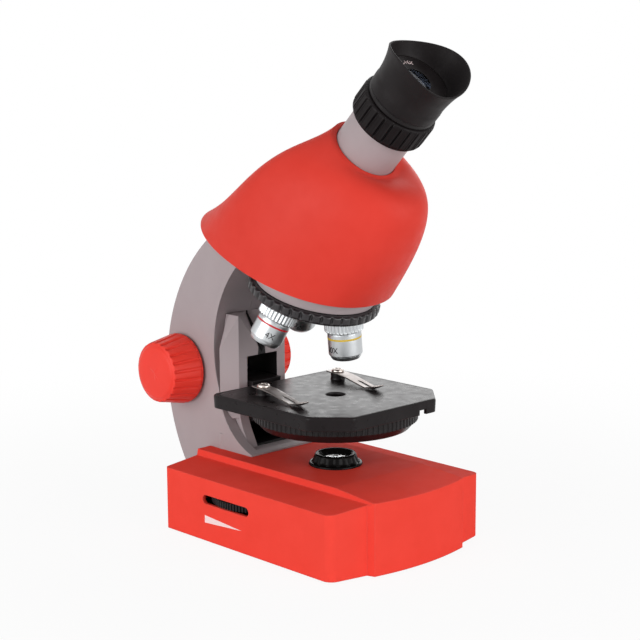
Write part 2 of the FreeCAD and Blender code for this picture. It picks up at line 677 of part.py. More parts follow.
def arm_outline():
    """The arm from the side: round back, slim waist and a toe along the deck."""
    centre = Vector(num("arm_centre_back"), num("arm_centre_height"), 0)
    radius = num("arm_radius")
    wall_y = num("base_back")
    foot = Vector(wall_y, centre.y - math.sqrt(radius ** 2 - (wall_y - centre.x) ** 2), 0)
    front = Vector(num("neck_top_back"), rim_height(num("neck_top_back")) + num("arm_over_rim"), 0)
    slope = math.tan(math.radians(num("hood_tilt")))
    drop = front.y - centre.y - slope * (front.x - centre.x)
    across = (-slope * drop + math.sqrt(radius ** 2 * (1 + slope ** 2) - drop ** 2)) / (1 + slope ** 2)
    top = centre + Vector(across, drop + slope * across, 0)
    deck = num("deck_height")
    corner = Vector(wall_y, deck, 0)
    toe = Vector(num("toe_back"), deck, 0)
    tip = Vector(num("toe_back"), deck + num("toe_height"), 0)
    bend = Vector(num("toe_bend_back"), num("toe_bend_height"), 0)
    knee = Vector(num("knee_back"), num("knee_height"), 0)
    waist = Vector(num("arm_waist"), num("arm_waist_height"), 0)
    neck = Vector(num("neck_front"), num("neck_height"), 0)
    return [Part.LineSegment(front, top), Part.Arc(top, centre + Vector(radius, 0, 0), foot),
            Part.LineSegment(foot, corner), Part.LineSegment(corner, toe), Part.LineSegment(toe, tip),
            Part.Arc(tip, bend, knee), Part.Arc(knee, waist, neck), Part.LineSegment(neck, front)]


def arm_shell(label, side):
    made = body(label)
    low, high = ("seam_gap", "arm_half") if side > 0 else ("-arm_half", "-seam_gap")
    slab(made, "Pad", "YZ", arm_outline(), low, high)
    inner = ("seam_gap", "arm_half - arm_wall") if side > 0 else ("-arm_half + arm_wall", "-seam_gap")
    slab(made, "Pocket", "YZ", inset(arm_outline(), num("arm_wall")), *inner)
    near, far = sorted((0, side * num("guide_half + plate_gap")))
    slab(made, "Pocket", "XY", box_outline(near, far, num("toe_back") - 5, num("guide_front + guide_deep")),
         "guide_bottom", "guide_top + plate_gap")
    hole = circle(num("shaft_back"), num("shaft_height"), num("bush_radius"))
    slab(made, "Pocket", "YZ", hole, low, high)
    post = (side * num("arm_screw_half"), num("arm_screw_back"))
    slab(made, "Pad", "XY", circle(*post, num("post_radius - 0.4")), "deck_height", "deck_height + 9")
    slab(made, "Pocket", "XY", circle(*post, num("screw_radius")), "deck_height", "deck_height + 8")
    tongue_low, tongue_high = sorted((0, side * (num("arm_half - arm_wall") - 1)))
    slab(made, "Pocket", "XY", box_outline(tongue_low, tongue_high, num("tongue_back"),
                                           num("tongue_back + tongue_thick")),
         "neck_height", "hood_height + hood_depth / 2")
    return made


def guide_wing(side):
    """Slanting cheek from the guide's front edge back to the arm's side."""
    edge, reach = side * num("guide_half"), side * num("arm_half - wing_seam")
    front, low, top = num("guide_front"), num("guide_flare_height"), num("guide_top")
    deep = num("wing_deep")
    plan = [Vector(edge - side, front, low), Vector(edge, front, low),
            Vector(reach, front + deep, low), Vector(edge - side, front + deep, low)]
    cheek = Part.Face(Part.makePolygon(plan + [plan[0]])).extrude(UP * (top - low))
    fall = (top - num("wing_top")) / num("arm_half - wing_seam - guide_half")
    above = [Vector(edge - side, front - 1, top + fall),
             Vector(reach + side, front - 1, num("wing_top") - fall),
             Vector(reach + side, front - 1, top + fall)]
    roof = Part.Face(Part.makePolygon(above + [above[0]])).extrude(Vector(0, deep + 2, 0))
    wire = Part.Wire(Part.__sortEdges__([edge.toShape() for edge in arm_outline()]))
    arm = Part.Face(wire.makeOffset2D(num("wing_seam"))).extrude(UP * 2 * num("arm_half"))
    arm.Placement = Placement(ALONG_X * -num("arm_half"),
                              Rotation(Vector(0, 1, 0), UP, ALONG_X, "ZXY"))
    return cheek.cut([roof, arm])


def slide_guide(label, side):
    """One half of the guide in the arm's front, with its half of the valley over the slot."""
    made = body(label)
    front, toe = num("guide_front"), num("guide_toe")
    back = front + num("guide_deep")
    outline = rounded([(front, num("guide_top"), 0), (front, num("guide_flare_height"), 30),
                       (toe, num("guide_bottom"), 0), (back, num("guide_bottom"), 0),
                       (back, num("guide_top"), 0)])
    low, high = ("seam_gap", "guide_half") if side > 0 else ("-guide_half", "-seam_gap")
    slab(made, "Pad", "YZ", outline, low, high)
    near, far = sorted((-side, side * num("slot_half")))
    slab(made, "Pocket", "XY", box_outline(near, far, toe - 5, back + 5),
         "guide_bottom + guide_floor", "slot_top")
    edge, top, foot = side * num("guide_half"), num("guide_top"), num("slot_top")
    outer_top, outer_foot = Vector(edge, front, top + 1), Vector(edge, front, foot)
    inner_top = Vector(-side, front + num("valley_back"), top - 2.5)
    inner_foot = Vector(-side, front + 0.4, foot - 0.1)
    facets = []
    for corners in ((outer_top, outer_foot, inner_foot), (outer_top, inner_foot, inner_top)):
        face = Part.Face(Part.makePolygon(list(corners) + [corners[0]]))
        facets.append(face.extrude(Vector(0, -30, 0)))
    before = Vector(-side, front - 10, inner_top.z)
    roof = Part.Face(Part.makePolygon([outer_top, inner_top, before, outer_top]))
    facets.append(roof.extrude(Vector(0, 0, 10)))
    valley = set_shape(label + "_valley", facets[0].fuse(facets[1:]))
    whole = fuse(label + "_whole", [rename(made, label + "_block"),
                                    set_shape(label + "_wing", guide_wing(side))])
    return cut(label, whole, [valley])


def rename(piece, name):
    piece.Label = name
    return piece


def arm_parts():
    bushes = []
    for side in (LEFT, RIGHT):
        axis = ALONG_X * side
        start = shaft_point + axis * (num("arm_half - arm_wall") - 3)
        bushes.append(turned("shaft_bush_%s" % ("left" if side < 0 else "right"), [
            ("shaft_radius + shaft_fit", "0"), ("bush_radius", "0"), ("bush_radius", "arm_wall + 3"),
            ("shaft_radius + shaft_fit", "arm_wall + 3")], Placement(start, Rotation(UP, axis))))
    return [arm_shell("arm_left_shell", LEFT), arm_shell("arm_right_shell", RIGHT),
            slide_guide("slide_guide_left", LEFT), slide_guide("slide_guide_right", RIGHT)] + bushes


# ---------------------------------------------------------------- focus drive

def involute_gear(teeth, module, bore, width, play):
    """Spur gear with 20 degree involute flanks and stub addenda, about Z, a tooth centred on +X."""
    pitch = teeth * module / 2
    base = pitch * math.cos(math.radians(20))
    tip, root = pitch + 0.8 * module, pitch - module
    lead = math.tan(math.radians(20)) - math.radians(20)
    half = math.pi / (2 * teeth) - play / pitch + lead
    outline = []
    for tooth in range(teeth):
        middle = 2 * math.pi * tooth / teeth
        flank = []
        for step in range(7):
            radius = max(base, root) + (tip - max(base, root)) * step / 6
            angle = math.acos(min(1, base / radius))
            flank.append((radius, half - (math.tan(angle) - angle)))
        flank.insert(0, (root, half))
        for radius, turn in flank:
            outline.append(Vector(radius * math.cos(middle - turn), radius * math.sin(middle - turn), 0))
        for radius, turn in reversed(flank):
            outline.append(Vector(radius * math.cos(middle + turn), radius * math.sin(middle + turn), 0))
    ring = Part.Face(Part.makePolygon(outline + [outline[0]]))
    gear = ring.extrude(Vector(0, 0, width))
    return gear.cut(Part.makeCylinder(bore, width))


def rack_shape(teeth, module, width, back, play):
    """Rack along Z with its teeth towards +Y; the pitch line is Y = 0, a gap centred on Z = 0."""
    pitch = math.pi * module
    slope = math.tan(math.radians(20))
    tip, root = 0.8 * module, -module
    outline = [Vector(0, root - back, -pitch * teeth / 2), Vector(0, root, -pitch * teeth / 2)]
    for tooth in range(teeth):
        middle = (tooth - teeth / 2 + 0.5) * pitch
        half = pitch / 4 - play
        outline += [Vector(0, root, middle - half + root * slope),
                    Vector(0, tip, middle - half + tip * slope),
                    Vector(0, tip, middle + half - tip * slope),
                    Vector(0, root, middle + half - root * slope)]
    outline += [Vector(0, root, pitch * teeth / 2), Vector(0, root - back, pitch * teeth / 2)]
    face = Part.Face(Part.makePolygon(outline + [outline[0]]))
    return face.extrude(Vector(width, 0, 0)).translated(Vector(-width / 2, 0, 0))


def focus_parts():
    reach = "arm_half + slide_gap + washer_thick"
    shaft = cylinder("focus_shaft", "shaft_radius", "2 * (%s + knob_length - 3)" % reach,
                     shaft_point - ALONG_X * num("%s + knob_length - 3" % reach), ALONG_X)
    teeth = int(num("pinion_teeth"))
    gear = involute_gear(teeth, num("gear_module"), num("shaft_radius"), num("pinion_width"),
                         num("gear_play"))
    pinion = set_shape("focus_pinion", gear)
    start = shaft_point - ALONG_X * num("pinion_width") / 2
    # the gear's axis lies along X and one tooth points at the rack
    pinion.Placement = Placement(start, Rotation(Vector(0, -1, 0), Vector(0, 0, -1), ALONG_X, "ZXY"))
    made = [shaft, pinion]
    washers, caps = [], []
    for side, name in ((LEFT, "left"), (RIGHT, "right")):
        axis = ALONG_X * side
        turn = Rotation(UP, axis)
        face = shaft_point + axis * num(reach)
        knob = turned("focus_knob_" + name, [
            ("shaft_radius", "0"), ("knob_radius - 1.5", "0"), ("knob_radius", "1.5"),
            ("knob_radius - 0.3", "6"), ("knob_tip_radius + 0.6", "knob_length - 3"),
            ("knob_tip_radius - 0.4", "knob_length - 1"), ("knob_tip_radius - 1.8", "knob_length"),
            ("knob_cap_radius", "knob_length"), ("knob_cap_radius", "knob_length - 3"),
            ("shaft_radius", "knob_length - 3")], Placement(face, turn))
        groove = slab(knob, "Pocket", "XY", circle(num("knob_radius + 0.3"), 0, num("flute_radius")),
                      "3", "knob_length + 1")
        polar(knob, groove, "flute_count")
        made.append(knob)
        washers.append(turned("washer_" + name, [
            ("shaft_radius", "0"), ("washer_radius", "0"), ("washer_radius", "washer_thick"),
            ("shaft_radius", "washer_thick")], Placement(face - axis * num("washer_thick"), turn)))
        caps.append(cylinder("knob_cap_" + name, "knob_cap_radius", "2.7",
                             face + axis * num("knob_length - 3"), axis))
    return made + [group("friction_washers", washers), group("knob_caps", caps)]


def mesh_line():
    """The rack's pitch line, in front of the shaft by the pinion's pitch radius."""
    return num("shaft_back - gear_module * pinion_teeth / 2")


# ---------------------------------------------------------------- stage

def stage_outline():
    half, back, cheek = num("stage_half"), num("stage_back"), num("stage_cheek")
    nose, front, corner = num("stage_nose"), num("stage_front"), num("stage_corner")
    blunt = num("stage_front_corner")
    side = [(half, back, corner), (half, -cheek, blunt), (nose, -front, blunt)]
    return rounded(side + [(-x, y, radius) for x, y, radius in reversed(side)])


def pivot_spot():
    """The filter disc's pivot, behind and right of the optical axis."""
    share = num("disc_offset") / math.sqrt(2)
    return Vector(share, optic.y + share, 0)


def stage_plate():
    made = body("stage_plate")
    low = "stage_top - stage_skirt"
    under = "stage_top - stage_plate_thick"
    slab(made, "Pad", "XY", stage_outline(), low, "stage_top")
    slab(made, "Pocket", "XY", inset(stage_outline(), num("stage_wall")), low, under)
    front = -num("stage_front")
    slab(made, "Pocket", "XY", box_outline(num("notch_side"), num("notch_side + notch_width"),
                                           front - 1, front + num("stage_wall") + 1),
         low, low + " + notch_height")
    pivot = pivot_spot()
    floor = "stage_top - stage_skirt - disc_gap - disc_rim - disc_cone"
    slab(made, "Pad", "XY", circle(pivot.x, pivot.y, num("hub_radius")), floor + " + 5.3", under)
    slab(made, "Pocket", "XY", circle(pivot.x, pivot.y, num("pivot_radius - 0.5")), floor + " + 5.3",
         under + " - 2")
    slab(made, "Pocket", "XY", circle(0, optic.y, num("stage_hole")), floor, "stage_top + 1")
    half = num("bracket_half + slide_gap")
    slab(made, "Pocket", "XY", box_outline(-half, half, num("stage_back - stage_wall") - 1,
                                           num("stage_back") + 1), low, under)
    for side in (LEFT, RIGHT):
        spot = (side * num("clip_half"), num("clip_back"))
        slab(made, "Pad", "XY", circle(*spot, num("clip_post_radius")), "stage_top",
             "stage_top + clip_rise - pivot_fit")
        slab(made, "Pocket", "XY", circle(*spot, num("screw_radius")), "stage_top",
             "stage_top + clip_rise")
        bolt = (side * num("bracket_half - 4"), num("bracket_front + 5"))
        slab(made, "Pocket", "XY", circle(*bolt, num("screw_radius")), under, under + " + 1.7")
    return made


def carriage_parts():
    back = "shaft_back - gear_module * pinion_teeth / 2 - gear_module - rack_back"
    rack = set_shape("focus_rack", rack_shape(int(num("rack_teeth")), num("gear_module"),
                                              num("rack_width"), num("rack_back"), num("gear_play")),
                     Placement(Vector(0, mesh_line(), num("shaft_height")), Rotation()))
    carriage = body("slide_carriage")
    half = num("slot_half - slide_gap")
    low = "carriage_top - carriage_height"
    slab(carriage, "Pad", "XY", box_outline(-half, half, num("carriage_front"), num(back), 0.8),
         low, "carriage_top")
    under = "stage_top - stage_plate_thick"
    bracket = body("stage_bracket")
    half = num("bracket_half")
    slab(bracket, "Pad", "XY", box_outline(-half, half, num("bracket_front"), num("carriage_front"), 0.8),
         under + " - bracket_thick", under)
    bolts = []
    for side in (LEFT, RIGHT):
        spot = (side * num("bracket_half - 4"), num("bracket_front + 5"))
        slab(bracket, "Pocket", "XY", circle(*spot, num("screw_radius")), under + " - bracket_thick", under)
        slab(bracket, "Pocket", "XY", circle(*spot, num("screw_head")), under + " - bracket_thick",
             under + " - bracket_thick + head_thick")
        seat = Vector(*spot, num(under + " - bracket_thick + head_thick"))
        bolts.append(screw("stage_screw_%d" % side, seat, -UP, "bracket_thick - head_thick + 1.5"))
    return [rack, carriage, bracket, group("stage_screws", bolts)]


def filter_parts():
    pivot = pivot_spot()
    floor = "stage_top - stage_skirt - disc_gap - disc_rim - disc_cone"
    place = Placement(pivot + UP * num(floor), Rotation())
    rim = "disc_radius - rib_depth"
    disc = turned("filter_disc", [
        ("pivot_radius + pivot_fit", "2.2"), ("hub_radius - 0.3", "2.2"), ("hub_radius - 0.3", "0"),
        ("disc_foot", "0"), (rim, "disc_cone"), (rim, "disc_cone + disc_rim"),
        ("disc_radius - disc_wall", "disc_cone + disc_rim"), ("disc_radius - disc_wall", "disc_cone"),
        ("disc_foot - disc_wall", "disc_floor"), ("hub_radius", "disc_floor"), ("hub_radius", "5"),
        ("pivot_radius + pivot_fit", "5")], place)
    ribs = ribbed(num("disc_radius"), num("rib_count"), num("rib_depth") * 0.9)
    slab(disc, "Pad", "XY", ribs + circle(0, 0, num("disc_radius - disc_wall / 2")),
         "disc_cone", "disc_cone + disc_rim")
    count = int(num("aperture_count"))
    start = -0.75 * math.pi
    gels = []
    for index in range(count):
        turn = start + 2 * math.pi * index / count
        x, y = num("disc_offset") * math.cos(turn), num("disc_offset") * math.sin(turn)
        slab(disc, "Pocket", "XY", circle(x, y, num("aperture_radius")), "0", "disc_floor")
        slab(disc, "Pocket", "XY", circle(x, y, num("gel_radius")), "disc_floor - gel_thick", "disc_floor")
        if index:
            gels.append(cylinder("gel_%d" % index, "gel_radius", "gel_thick",
                                 place.Base + Vector(x, y, num("disc_floor - gel_thick"))))
    seat = place.Base + UP * 2.14
    pin = cylinder("pivot_pin", "pivot_radius", "3.1", seat)
    thread = cylinder("pivot_thread", "pivot_radius - 0.5", "5", seat + UP * 3.1)
    head = cylinder("pivot_head", "hub_radius - 0.5", "1.6", seat - UP * 1.6)
    return [disc, group("filter_gels", gels), fuse("disc_pivot", [head, pin, thread])]


def clip(label, side):
    spot = Vector(side * num("clip_half"), num("clip_back"), num("stage_top"))
    made = body(label, Placement(spot, Rotation(UP, -num("clip_angle"))))
    rise, thick, touch = num("clip_rise"), num("clip_thick"), num("clip_touch")
    tip, tail = num("clip_length"), num("clip_tail")
    line = [(tail, rise), (-9, rise), (-tip + 9, touch), (-tip + 5, touch), (-tip, touch + 2.6)]
    strip = [(y, z, 0) for y, z in line] + [(y - 0.2, z + thick, 0) for y, z in reversed(line)]
    wide = num("clip_width") / 2
    slab(made, "Pad", "YZ", rounded(strip), "-clip_width / 2", "clip_width / 2")
    for way in (LEFT, RIGHT):
        side_cut = [(way * wide, -4, 0), (way * num("clip_tip_width") / 2, -tip - 1, 0),
                    (way * (wide + 2), -tip - 1, 0), (way * (wide + 2), -4, 0)]
        slab(made, "Pocket", "XY", rounded(side_cut), "0", "clip_rise + 2 * clip_thick")
    slot = box_outline(-1.2, 1.2, -tip + 12, -10, 1.15)
    slab(made, "Pocket", "XY", slot, "0", "clip_rise + 2 * clip_thick")
    slab(made, "Pocket", "XY", circle(0, 0, num("screw_radius + pivot_fit")), "0",
         "clip_rise + 2 * clip_thick")
    seat = spot + UP * num("clip_rise + clip_thick + pivot_fit")
    return [made, screw("clip_screw_" + label.split("_")[-1], seat, UP,
                        "clip_thick + 3", "clip_screw_head", "screw_radius", "1.8")]


# ---------------------------------------------------------------- turret and objectives

def objective_place(station):
    """Seat of an objective on the turret's cone, its axis upright at the click position."""
    turn = num("turret_turn") + 120 * station
    out = Placement(Vector(0, 0, 0), Rotation(UP, turn))
    seat = Placement(Vector(0, -num("turret_pitch"), -seat_drop), Rotation(ALONG_X, -num("turret_tilt")))
    return turret_place.multiply(out).multiply(seat)


def turret_parts():
    flat = num("turret_flat")
    cone = math.tan(tilt)
    low = "%f" % (-(num("turret_radius") - flat) * cone)
    lip = "%f" % (-1.2 * cone)
    ring = turned("turret_ring", [
        ("turret_screw_radius", low), ("turret_flat", low), ("turret_radius - 1.2", lip),
        ("turret_radius - rib_depth", "0.8"), ("turret_radius - rib_depth", "turret_thick - 0.8"),
        ("turret_radius - 1.2", "turret_thick"), ("turret_screw_radius", "turret_thick")], turret_place)
    ribs = ribbed(num("turret_radius"), num("turret_rib_count"), num("rib_depth") * 0.9)
    slab(ring, "Pad", "XY", ribs + circle(0, 0, num("turret_radius") - 2), "1", "turret_thick - 1")
    wells = []
    objectives, lenses = [], []
    for station, (name, length) in enumerate((("10x", "objective_middle"), ("40x", "objective_long"),
                                              ("4x", "objective_short"))):
        place = objective_place(station)
        axis = place.Rotation.multVec(UP)
        wells.append(cylinder("well_" + name, "thread_radius", "4 * thread_length",
                              place.Base - axis * 0.01, axis))
        objective = turned("objective_" + name, [
            ("objective_bore", "thread_length"), ("thread_radius", "thread_length"), ("thread_radius", "0"),
            ("collar_radius - rib_depth - 0.4", "-0.05"), ("collar_radius - rib_depth", "-0.6"),
            ("collar_radius - rib_depth", "-6"), ("barrel_radius", "-6.6"),
            ("barrel_radius", "-%s + 2.4" % length), ("barrel_radius - 1.6", "-%s" % length),
            ("lens_radius", "-%s" % length), ("lens_radius", "-%s + 3" % length),
            ("objective_bore - 1", "-%s + 3" % length), ("objective_bore - 1", "-%s + 5" % length),
            ("objective_bore", "-%s + 6" % length)], place)
        knurl = ribbed(num("collar_radius"), num("collar_rib_count"), num("rib_depth") * 0.9)
        slab(objective, "Pad", "XY", knurl + circle(0, 0, num("barrel_radius") - 1), "-5.6", "-1")
        objectives.append(objective)
        lenses.append(cylinder("lens_" + name, "lens_radius", "2",
                               place.Base - axis * (num(length) - 1), axis))
    turret = cut("turret", ring, wells)
    ring.Label = "turret_blank"
    axis = turret_place.Rotation.multVec(UP)
    seat = turret_place.Base + axis * (float(low) - 0.1)
    pivot = screw("turret_screw", seat, -axis, "turret_thick + turret_gap + 8 - (%s)" % low,
                  "6", "turret_screw_radius - pivot_fit", "2")
    return [turret, pivot, group("front_lenses", lenses)] + objectives


# ---------------------------------------------------------------- head

def head_core():
    """Collar over the turret, slab on the arm, tower with the prism and socket of the tube."""
    axis = turret_place.Rotation.multVec(UP)
    start = turret_place.Base + axis * num("turret_thick + turret_gap")
    collar = Part.makeCylinder(num("core_radius"), num("core_thick"), start, axis)
    slope = math.radians(num("hood_tilt"))
    rim = Placement(Vector(0, num("hood_back"), num("hood_height")), Rotation(ALONG_X, num("hood_tilt")))
    low = num("arm_over_rim") * math.cos(slope) + 0.05
    half = num("core_half")
    plate = Part.makeBox(2 * half, num("core_front + core_back"), num("core_slab"),
                         Vector(-half, -num("core_front"), low))
    plate.Placement = rim
    wide = num("arm_half - arm_wall") - 1.2
    foot = num("neck_height + tongue_lift")
    tongue = Part.makeBox(2 * wide, num("tongue_thick") - 0.4,
                          rim_height(num("tongue_back")) + num("tongue_over") - foot,
                          Vector(-wide, num("tongue_back") + 0.2, foot))
    tower_half = num("tower_half")
    base_z = start.z + 4
    tower = Part.makeBox(2 * tower_half, 30, prism_point.z - base_z + 4,
                         Vector(-tower_half, optic.y - 14, base_z))
    outer = num("tube_radius + socket_wall")
    socket = Part.makeCylinder(outer, num("socket_end") + 14, Vector(0, 0, -14))
    socket.Placement = tube_place
    below = start.z - num("core_radius")
    bores = [Part.makeCylinder(num("light_bore"), prism_point.z - below, optic + UP * below)]
    for radius, low_end, high_end in ((num("tube_radius"), num("tube_start"), num("socket_end") + 5),
                                      (num("tube_bore") - 2, 0, num("tube_start") + 1)):
        bore = Part.makeCylinder(radius, high_end - low_end, Vector(0, 0, low_end))
        bore.Placement = tube_place
        bores.append(bore)
    bores.append(prism_shape(0.1))
    pin = Part.makeCylinder(num("turret_screw_radius - pivot_fit"), 12, start - axis * 1, axis)
    bores.append(pin)
    bores.append(dome(0).cut(dome(num("hood_wall + core_play"))))
    solid = plate.fuse([collar, tongue, tower, socket]).removeSplitter().cut(bores)
    # the hood trims a scrap off the socket's end; the core is what remains
    return set_shape("head_core", max(solid.Solids, key=lambda piece: piece.Volume))


def prism_shape(grow):
    """Triangular prism that bends the upright light path into the tube."""
    normal = tube_axis - UP
    normal.normalize()
    along = normal.cross(ALONG_X)
    reach = num("prism_reach") + grow
    corners = [prism_point + along * reach - normal * grow, prism_point - along * reach - normal * grow,
               prism_point + normal * reach]
    half = num("prism_half") + grow
    face = Part.Face(Part.makePolygon([corner - ALONG_X * half for corner in corners + [corners[0]]]))
    return face.extrude(ALONG_X * 2 * half)


def hood_point(share, turn, drawn_in=0):
    """Point of the dome: share 0 on the rim to 1 on the tube, turn round it; a weighted parabola."""
    square = num("hood_square")
    c, d = math.cos(turn), math.sin(turn)
    size = (abs(c) ** square + abs(d) ** square) ** (-1 / square)
    c, d = c * size, d * size
    half, deep = num("hood_width") / 2, num("hood_depth") / 2
    slope = math.radians(num("hood_tilt"))
    along = Vector(0, math.cos(slope), math.sin(slope))
    over = Vector(0, -math.sin(slope), math.cos(slope))
    middle = Vector(0, num("hood_back"), num("hood_height"))
    at_back = (1 + d) / 2
    swell = num("hood_front_swell") * (1 - at_back) + num("hood_back_swell") * at_back - drawn_in
    out = num("hood_front_out") * (1 - at_back) + num("hood_back_out") * at_back
    rim = middle + ALONG_X * (half - drawn_in) * c + along * (deep - drawn_in) * d - over * drawn_in / 2
    reach = (middle + ALONG_X * (half * num("hood_side_out") - drawn_in) * c
             + along * (deep * out - drawn_in) * d + over * swell)
    back = Vector(0, math.cos(lean), math.sin(lean))
    lip = num("collar_lip") - drawn_in
    top = prism_point + tube_axis * (num("collar_reach") - drawn_in) + ALONG_X * lip * c + back * lip * d
    weights = ((1 - share) ** 2, 2 * share * (1 - share) * num("hood_pull"), share ** 2)
    return (rim * weights[0] + reach * weights[1] + top * weights[2]) * (1 / sum(weights))


def dome(drawn_in):
    rings = []
    for share in (0, 0.12, 0.26, 0.42, 0.6, 0.8, 1):
        curve = Part.BSplineCurve()
        curve.interpolate(Points=[hood_point(share, 2 * math.pi * k / 32, drawn_in)
                                  for k in range(32)], PeriodicFlag=True)
        rings.append(Part.Wire([curve.toShape()]))
    return Part.makeLoft(rings, True, False)


def hood():
    deep = num("collar_bore")
    bore = Part.makeCylinder(num("tube_radius + tube_play"), 2 * deep,
                             Vector(0, 0, num("collar_reach") - deep))
    bore.Placement = tube_place
    return set_shape("hood", dome(0).cut([dome(num("hood_wall")), bore]))


# ---------------------------------------------------------------- eyepiece

def eyepiece_parts():
    tube = turned("eyepiece_tube", [
        ("tube_bore", "tube_start"), ("tube_radius", "tube_start"), ("tube_radius", "tube_end"),
        ("tube_bore", "tube_end")], tube_place)
    zoom = turned("zoom_ring", [
        ("tube_bore + zoom_fit", "tube_end + zoom_play"),
        ("zoom_radius - 1.2", "tube_end + zoom_play"),
        ("zoom_radius - rib_depth", "tube_end + zoom_play + 1.2"),
        ("zoom_radius - rib_depth", "tube_end + zoom_play + zoom_length - 1.2"),
        ("zoom_radius - 1.2", "tube_end + zoom_play + zoom_length"),
        ("tube_bore + zoom_fit", "tube_end + zoom_play + zoom_length")], tube_place)
    ribs = ribbed(num("zoom_radius"), num("zoom_rib_count"), num("rib_depth") * 0.9)
    slab(zoom, "Pad", "XY", ribs + circle(0, 0, num("zoom_radius") - 2),
         "tube_end + zoom_play + 1.6", "tube_end + zoom_play + zoom_length - 1.6")
    foot = "tube_end + 2 * zoom_play + zoom_length"
    seat = foot + " + flange_thick"
    top = seat + " + cup_bore_long"
    barrel = turned("eyepiece_barrel", [
        ("barrel_bore", "tube_end - barrel_deep"), ("tube_bore", "tube_end - barrel_deep"),
        ("tube_bore", foot), ("flange_radius", foot), ("flange_radius", seat), ("tube_bore", seat),
        ("tube_bore", top), ("barrel_bore", top)], tube_place)
    carrier = turned("zoom_lens_carrier", [
        ("carrier_bore", "carrier_start"), ("barrel_bore - zoom_fit", "carrier_start"),
        ("barrel_bore - zoom_fit", "carrier_start + carrier_long"),
        ("carrier_bore", "carrier_start + carrier_long")], tube_place)
    lens = turned("zoom_lens", [
        ("0", "carrier_start + 1"), ("carrier_bore", "carrier_start + 2"),
        ("carrier_bore", "carrier_start + 4"), ("0", "carrier_start + 5")], tube_place)
    plate = turned("lens_plate", [
        ("eye_lens_radius", top), ("tube_bore + 1.5", top), ("tube_bore + 1.5", top + " + lens_plate_thick"),
        ("eye_lens_radius", top + " + lens_plate_thick")], tube_place)
    glass = turned("eye_lens", [
        ("0", top + " - 1"), ("eye_lens_radius", top),
        ("eye_lens_radius", top + " + lens_plate_thick - 0.4"),
        ("0", top + " + lens_plate_thick + 0.6")], tube_place)
    inside = "eyecup_flare - eyecup_wall"
    cup = turned("eyecup_blank", [
        ("tube_bore", seat), ("eyecup_radius", seat), ("eyecup_radius", seat + " + 11"),
        ("eyecup_flare", seat + " + 20"), ("eyecup_flare - 1", seat + " + eyecup_high + 4"),
        (inside + " - 1", seat + " + eyecup_high + 4"), (inside, seat + " + 20"),
        ("tube_bore + 1.5", top + " + lens_plate_thick"), ("tube_bore + 1.5", top), ("tube_bore", top)],
        tube_place)
    low, high = num(seat + " + eyecup_low"), num(seat + " + eyecup_high")
    reach = num("eyecup_flare")
    slope = math.degrees(math.atan2(high - low, 2 * reach))
    shears = Part.makeBox(4 * reach, 4 * reach, 2 * reach, Vector(-2 * reach, -2 * reach, 0))
    turn = Rotation(UP, num("eyecup_turn")).multiply(Rotation(Vector(0, 1, 0), -slope))
    shears.Placement = tube_place.multiply(Placement(UP * ((low + high) / 2), turn))
    eyecup = cut("eyecup", cup, [set_shape("eyecup_trim", shears, shears.Placement)])
    return [tube, zoom, barrel, carrier, lens, plate, glass, eyecup]


# ---------------------------------------------------------------- the whole microscope

nodes = [base_shell(), base_plate()] + battery_parts() + feet_and_screws() + light_parts()
nodes += arm_parts() + focus_parts() + [stage_plate()] + carriage_parts() + filter_parts()
nodes += clip("stage_clip_left", LEFT) + clip("stage_clip_right", RIGHT)
nodes += turret_parts() + [head_core(), set_shape("light_prism", prism_shape(0)), hood()]
nodes += eyepiece_parts()
doc.recompute()

faulty = [item.Name for item in doc.Objects if "Invalid" in item.State or "Error" in item.State]
for node in nodes:
    if node.Shape.isNull() or not node.Shape.isValid() or not node.Shape.Solids:
        faulty.append(node.Label)
if faulty:
    raise RuntimeError("these did not build: " + ", ".join(faulty))

os.makedirs("parts", exist_ok=True)
for node in nodes:
    node.Shape.exportStep("parts/%s.step" % node.Label)
    print("%-24s %2d solids %10.1f mm3" % (node.Label, len(node.Shape.Solids), node.Shape.Volume))
print(len(nodes), "nodes")
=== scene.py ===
import math

import bmesh
import bpy
import numpy as np
from mathutils import Matrix


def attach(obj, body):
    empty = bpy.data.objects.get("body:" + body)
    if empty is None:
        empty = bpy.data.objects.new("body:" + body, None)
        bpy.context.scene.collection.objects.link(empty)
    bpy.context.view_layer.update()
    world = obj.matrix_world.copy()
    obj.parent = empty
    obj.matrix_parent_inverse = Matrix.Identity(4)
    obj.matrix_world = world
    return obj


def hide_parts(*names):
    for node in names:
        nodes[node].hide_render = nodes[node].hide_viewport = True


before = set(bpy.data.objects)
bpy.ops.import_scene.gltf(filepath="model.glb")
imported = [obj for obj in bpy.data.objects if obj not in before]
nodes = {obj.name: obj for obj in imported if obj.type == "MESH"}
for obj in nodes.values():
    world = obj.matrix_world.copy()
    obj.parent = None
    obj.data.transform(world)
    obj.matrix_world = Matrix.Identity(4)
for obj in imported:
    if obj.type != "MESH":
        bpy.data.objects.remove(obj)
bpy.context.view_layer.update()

mm = 0.001
fullTurn = 2 * math.pi
print("frame loaded:", len(nodes), "nodes")


# ---- colours and materials

# sRGB hex to linear light: c / 12.92 below 0.04045, ((c + 0.055) / 1.055) ^ 2.4 above it
def linear(hexColour):
    parts = np.array([int(hexColour[i:i + 2], 16) for i in (1, 3, 5)]) / 255
    shade = np.where(parts <= 0.04045, parts / 12.92, ((parts + 0.055) / 1.055) ** 2.4)
    return (*shade.tolist(), 1.0)


def addNode(tree, kind, settings=None, links=None):
    node = tree.nodes.new("ShaderNode" + kind)
    for name, value in (settings or {}).items():
        if isinstance(name, str) and hasattr(node, name):
            setattr(node, name, value)
        else:
            node.inputs[name].default_value = value
    for socket, source in (links or {}).items():
        tree.links.new(source, node.inputs[socket])
    return node


def newMaterial(name="finish"):
    made = bpy.data.materials.new(name)
    made.use_nodes = True
    made.node_tree.nodes.clear()
    return made, made.node_tree


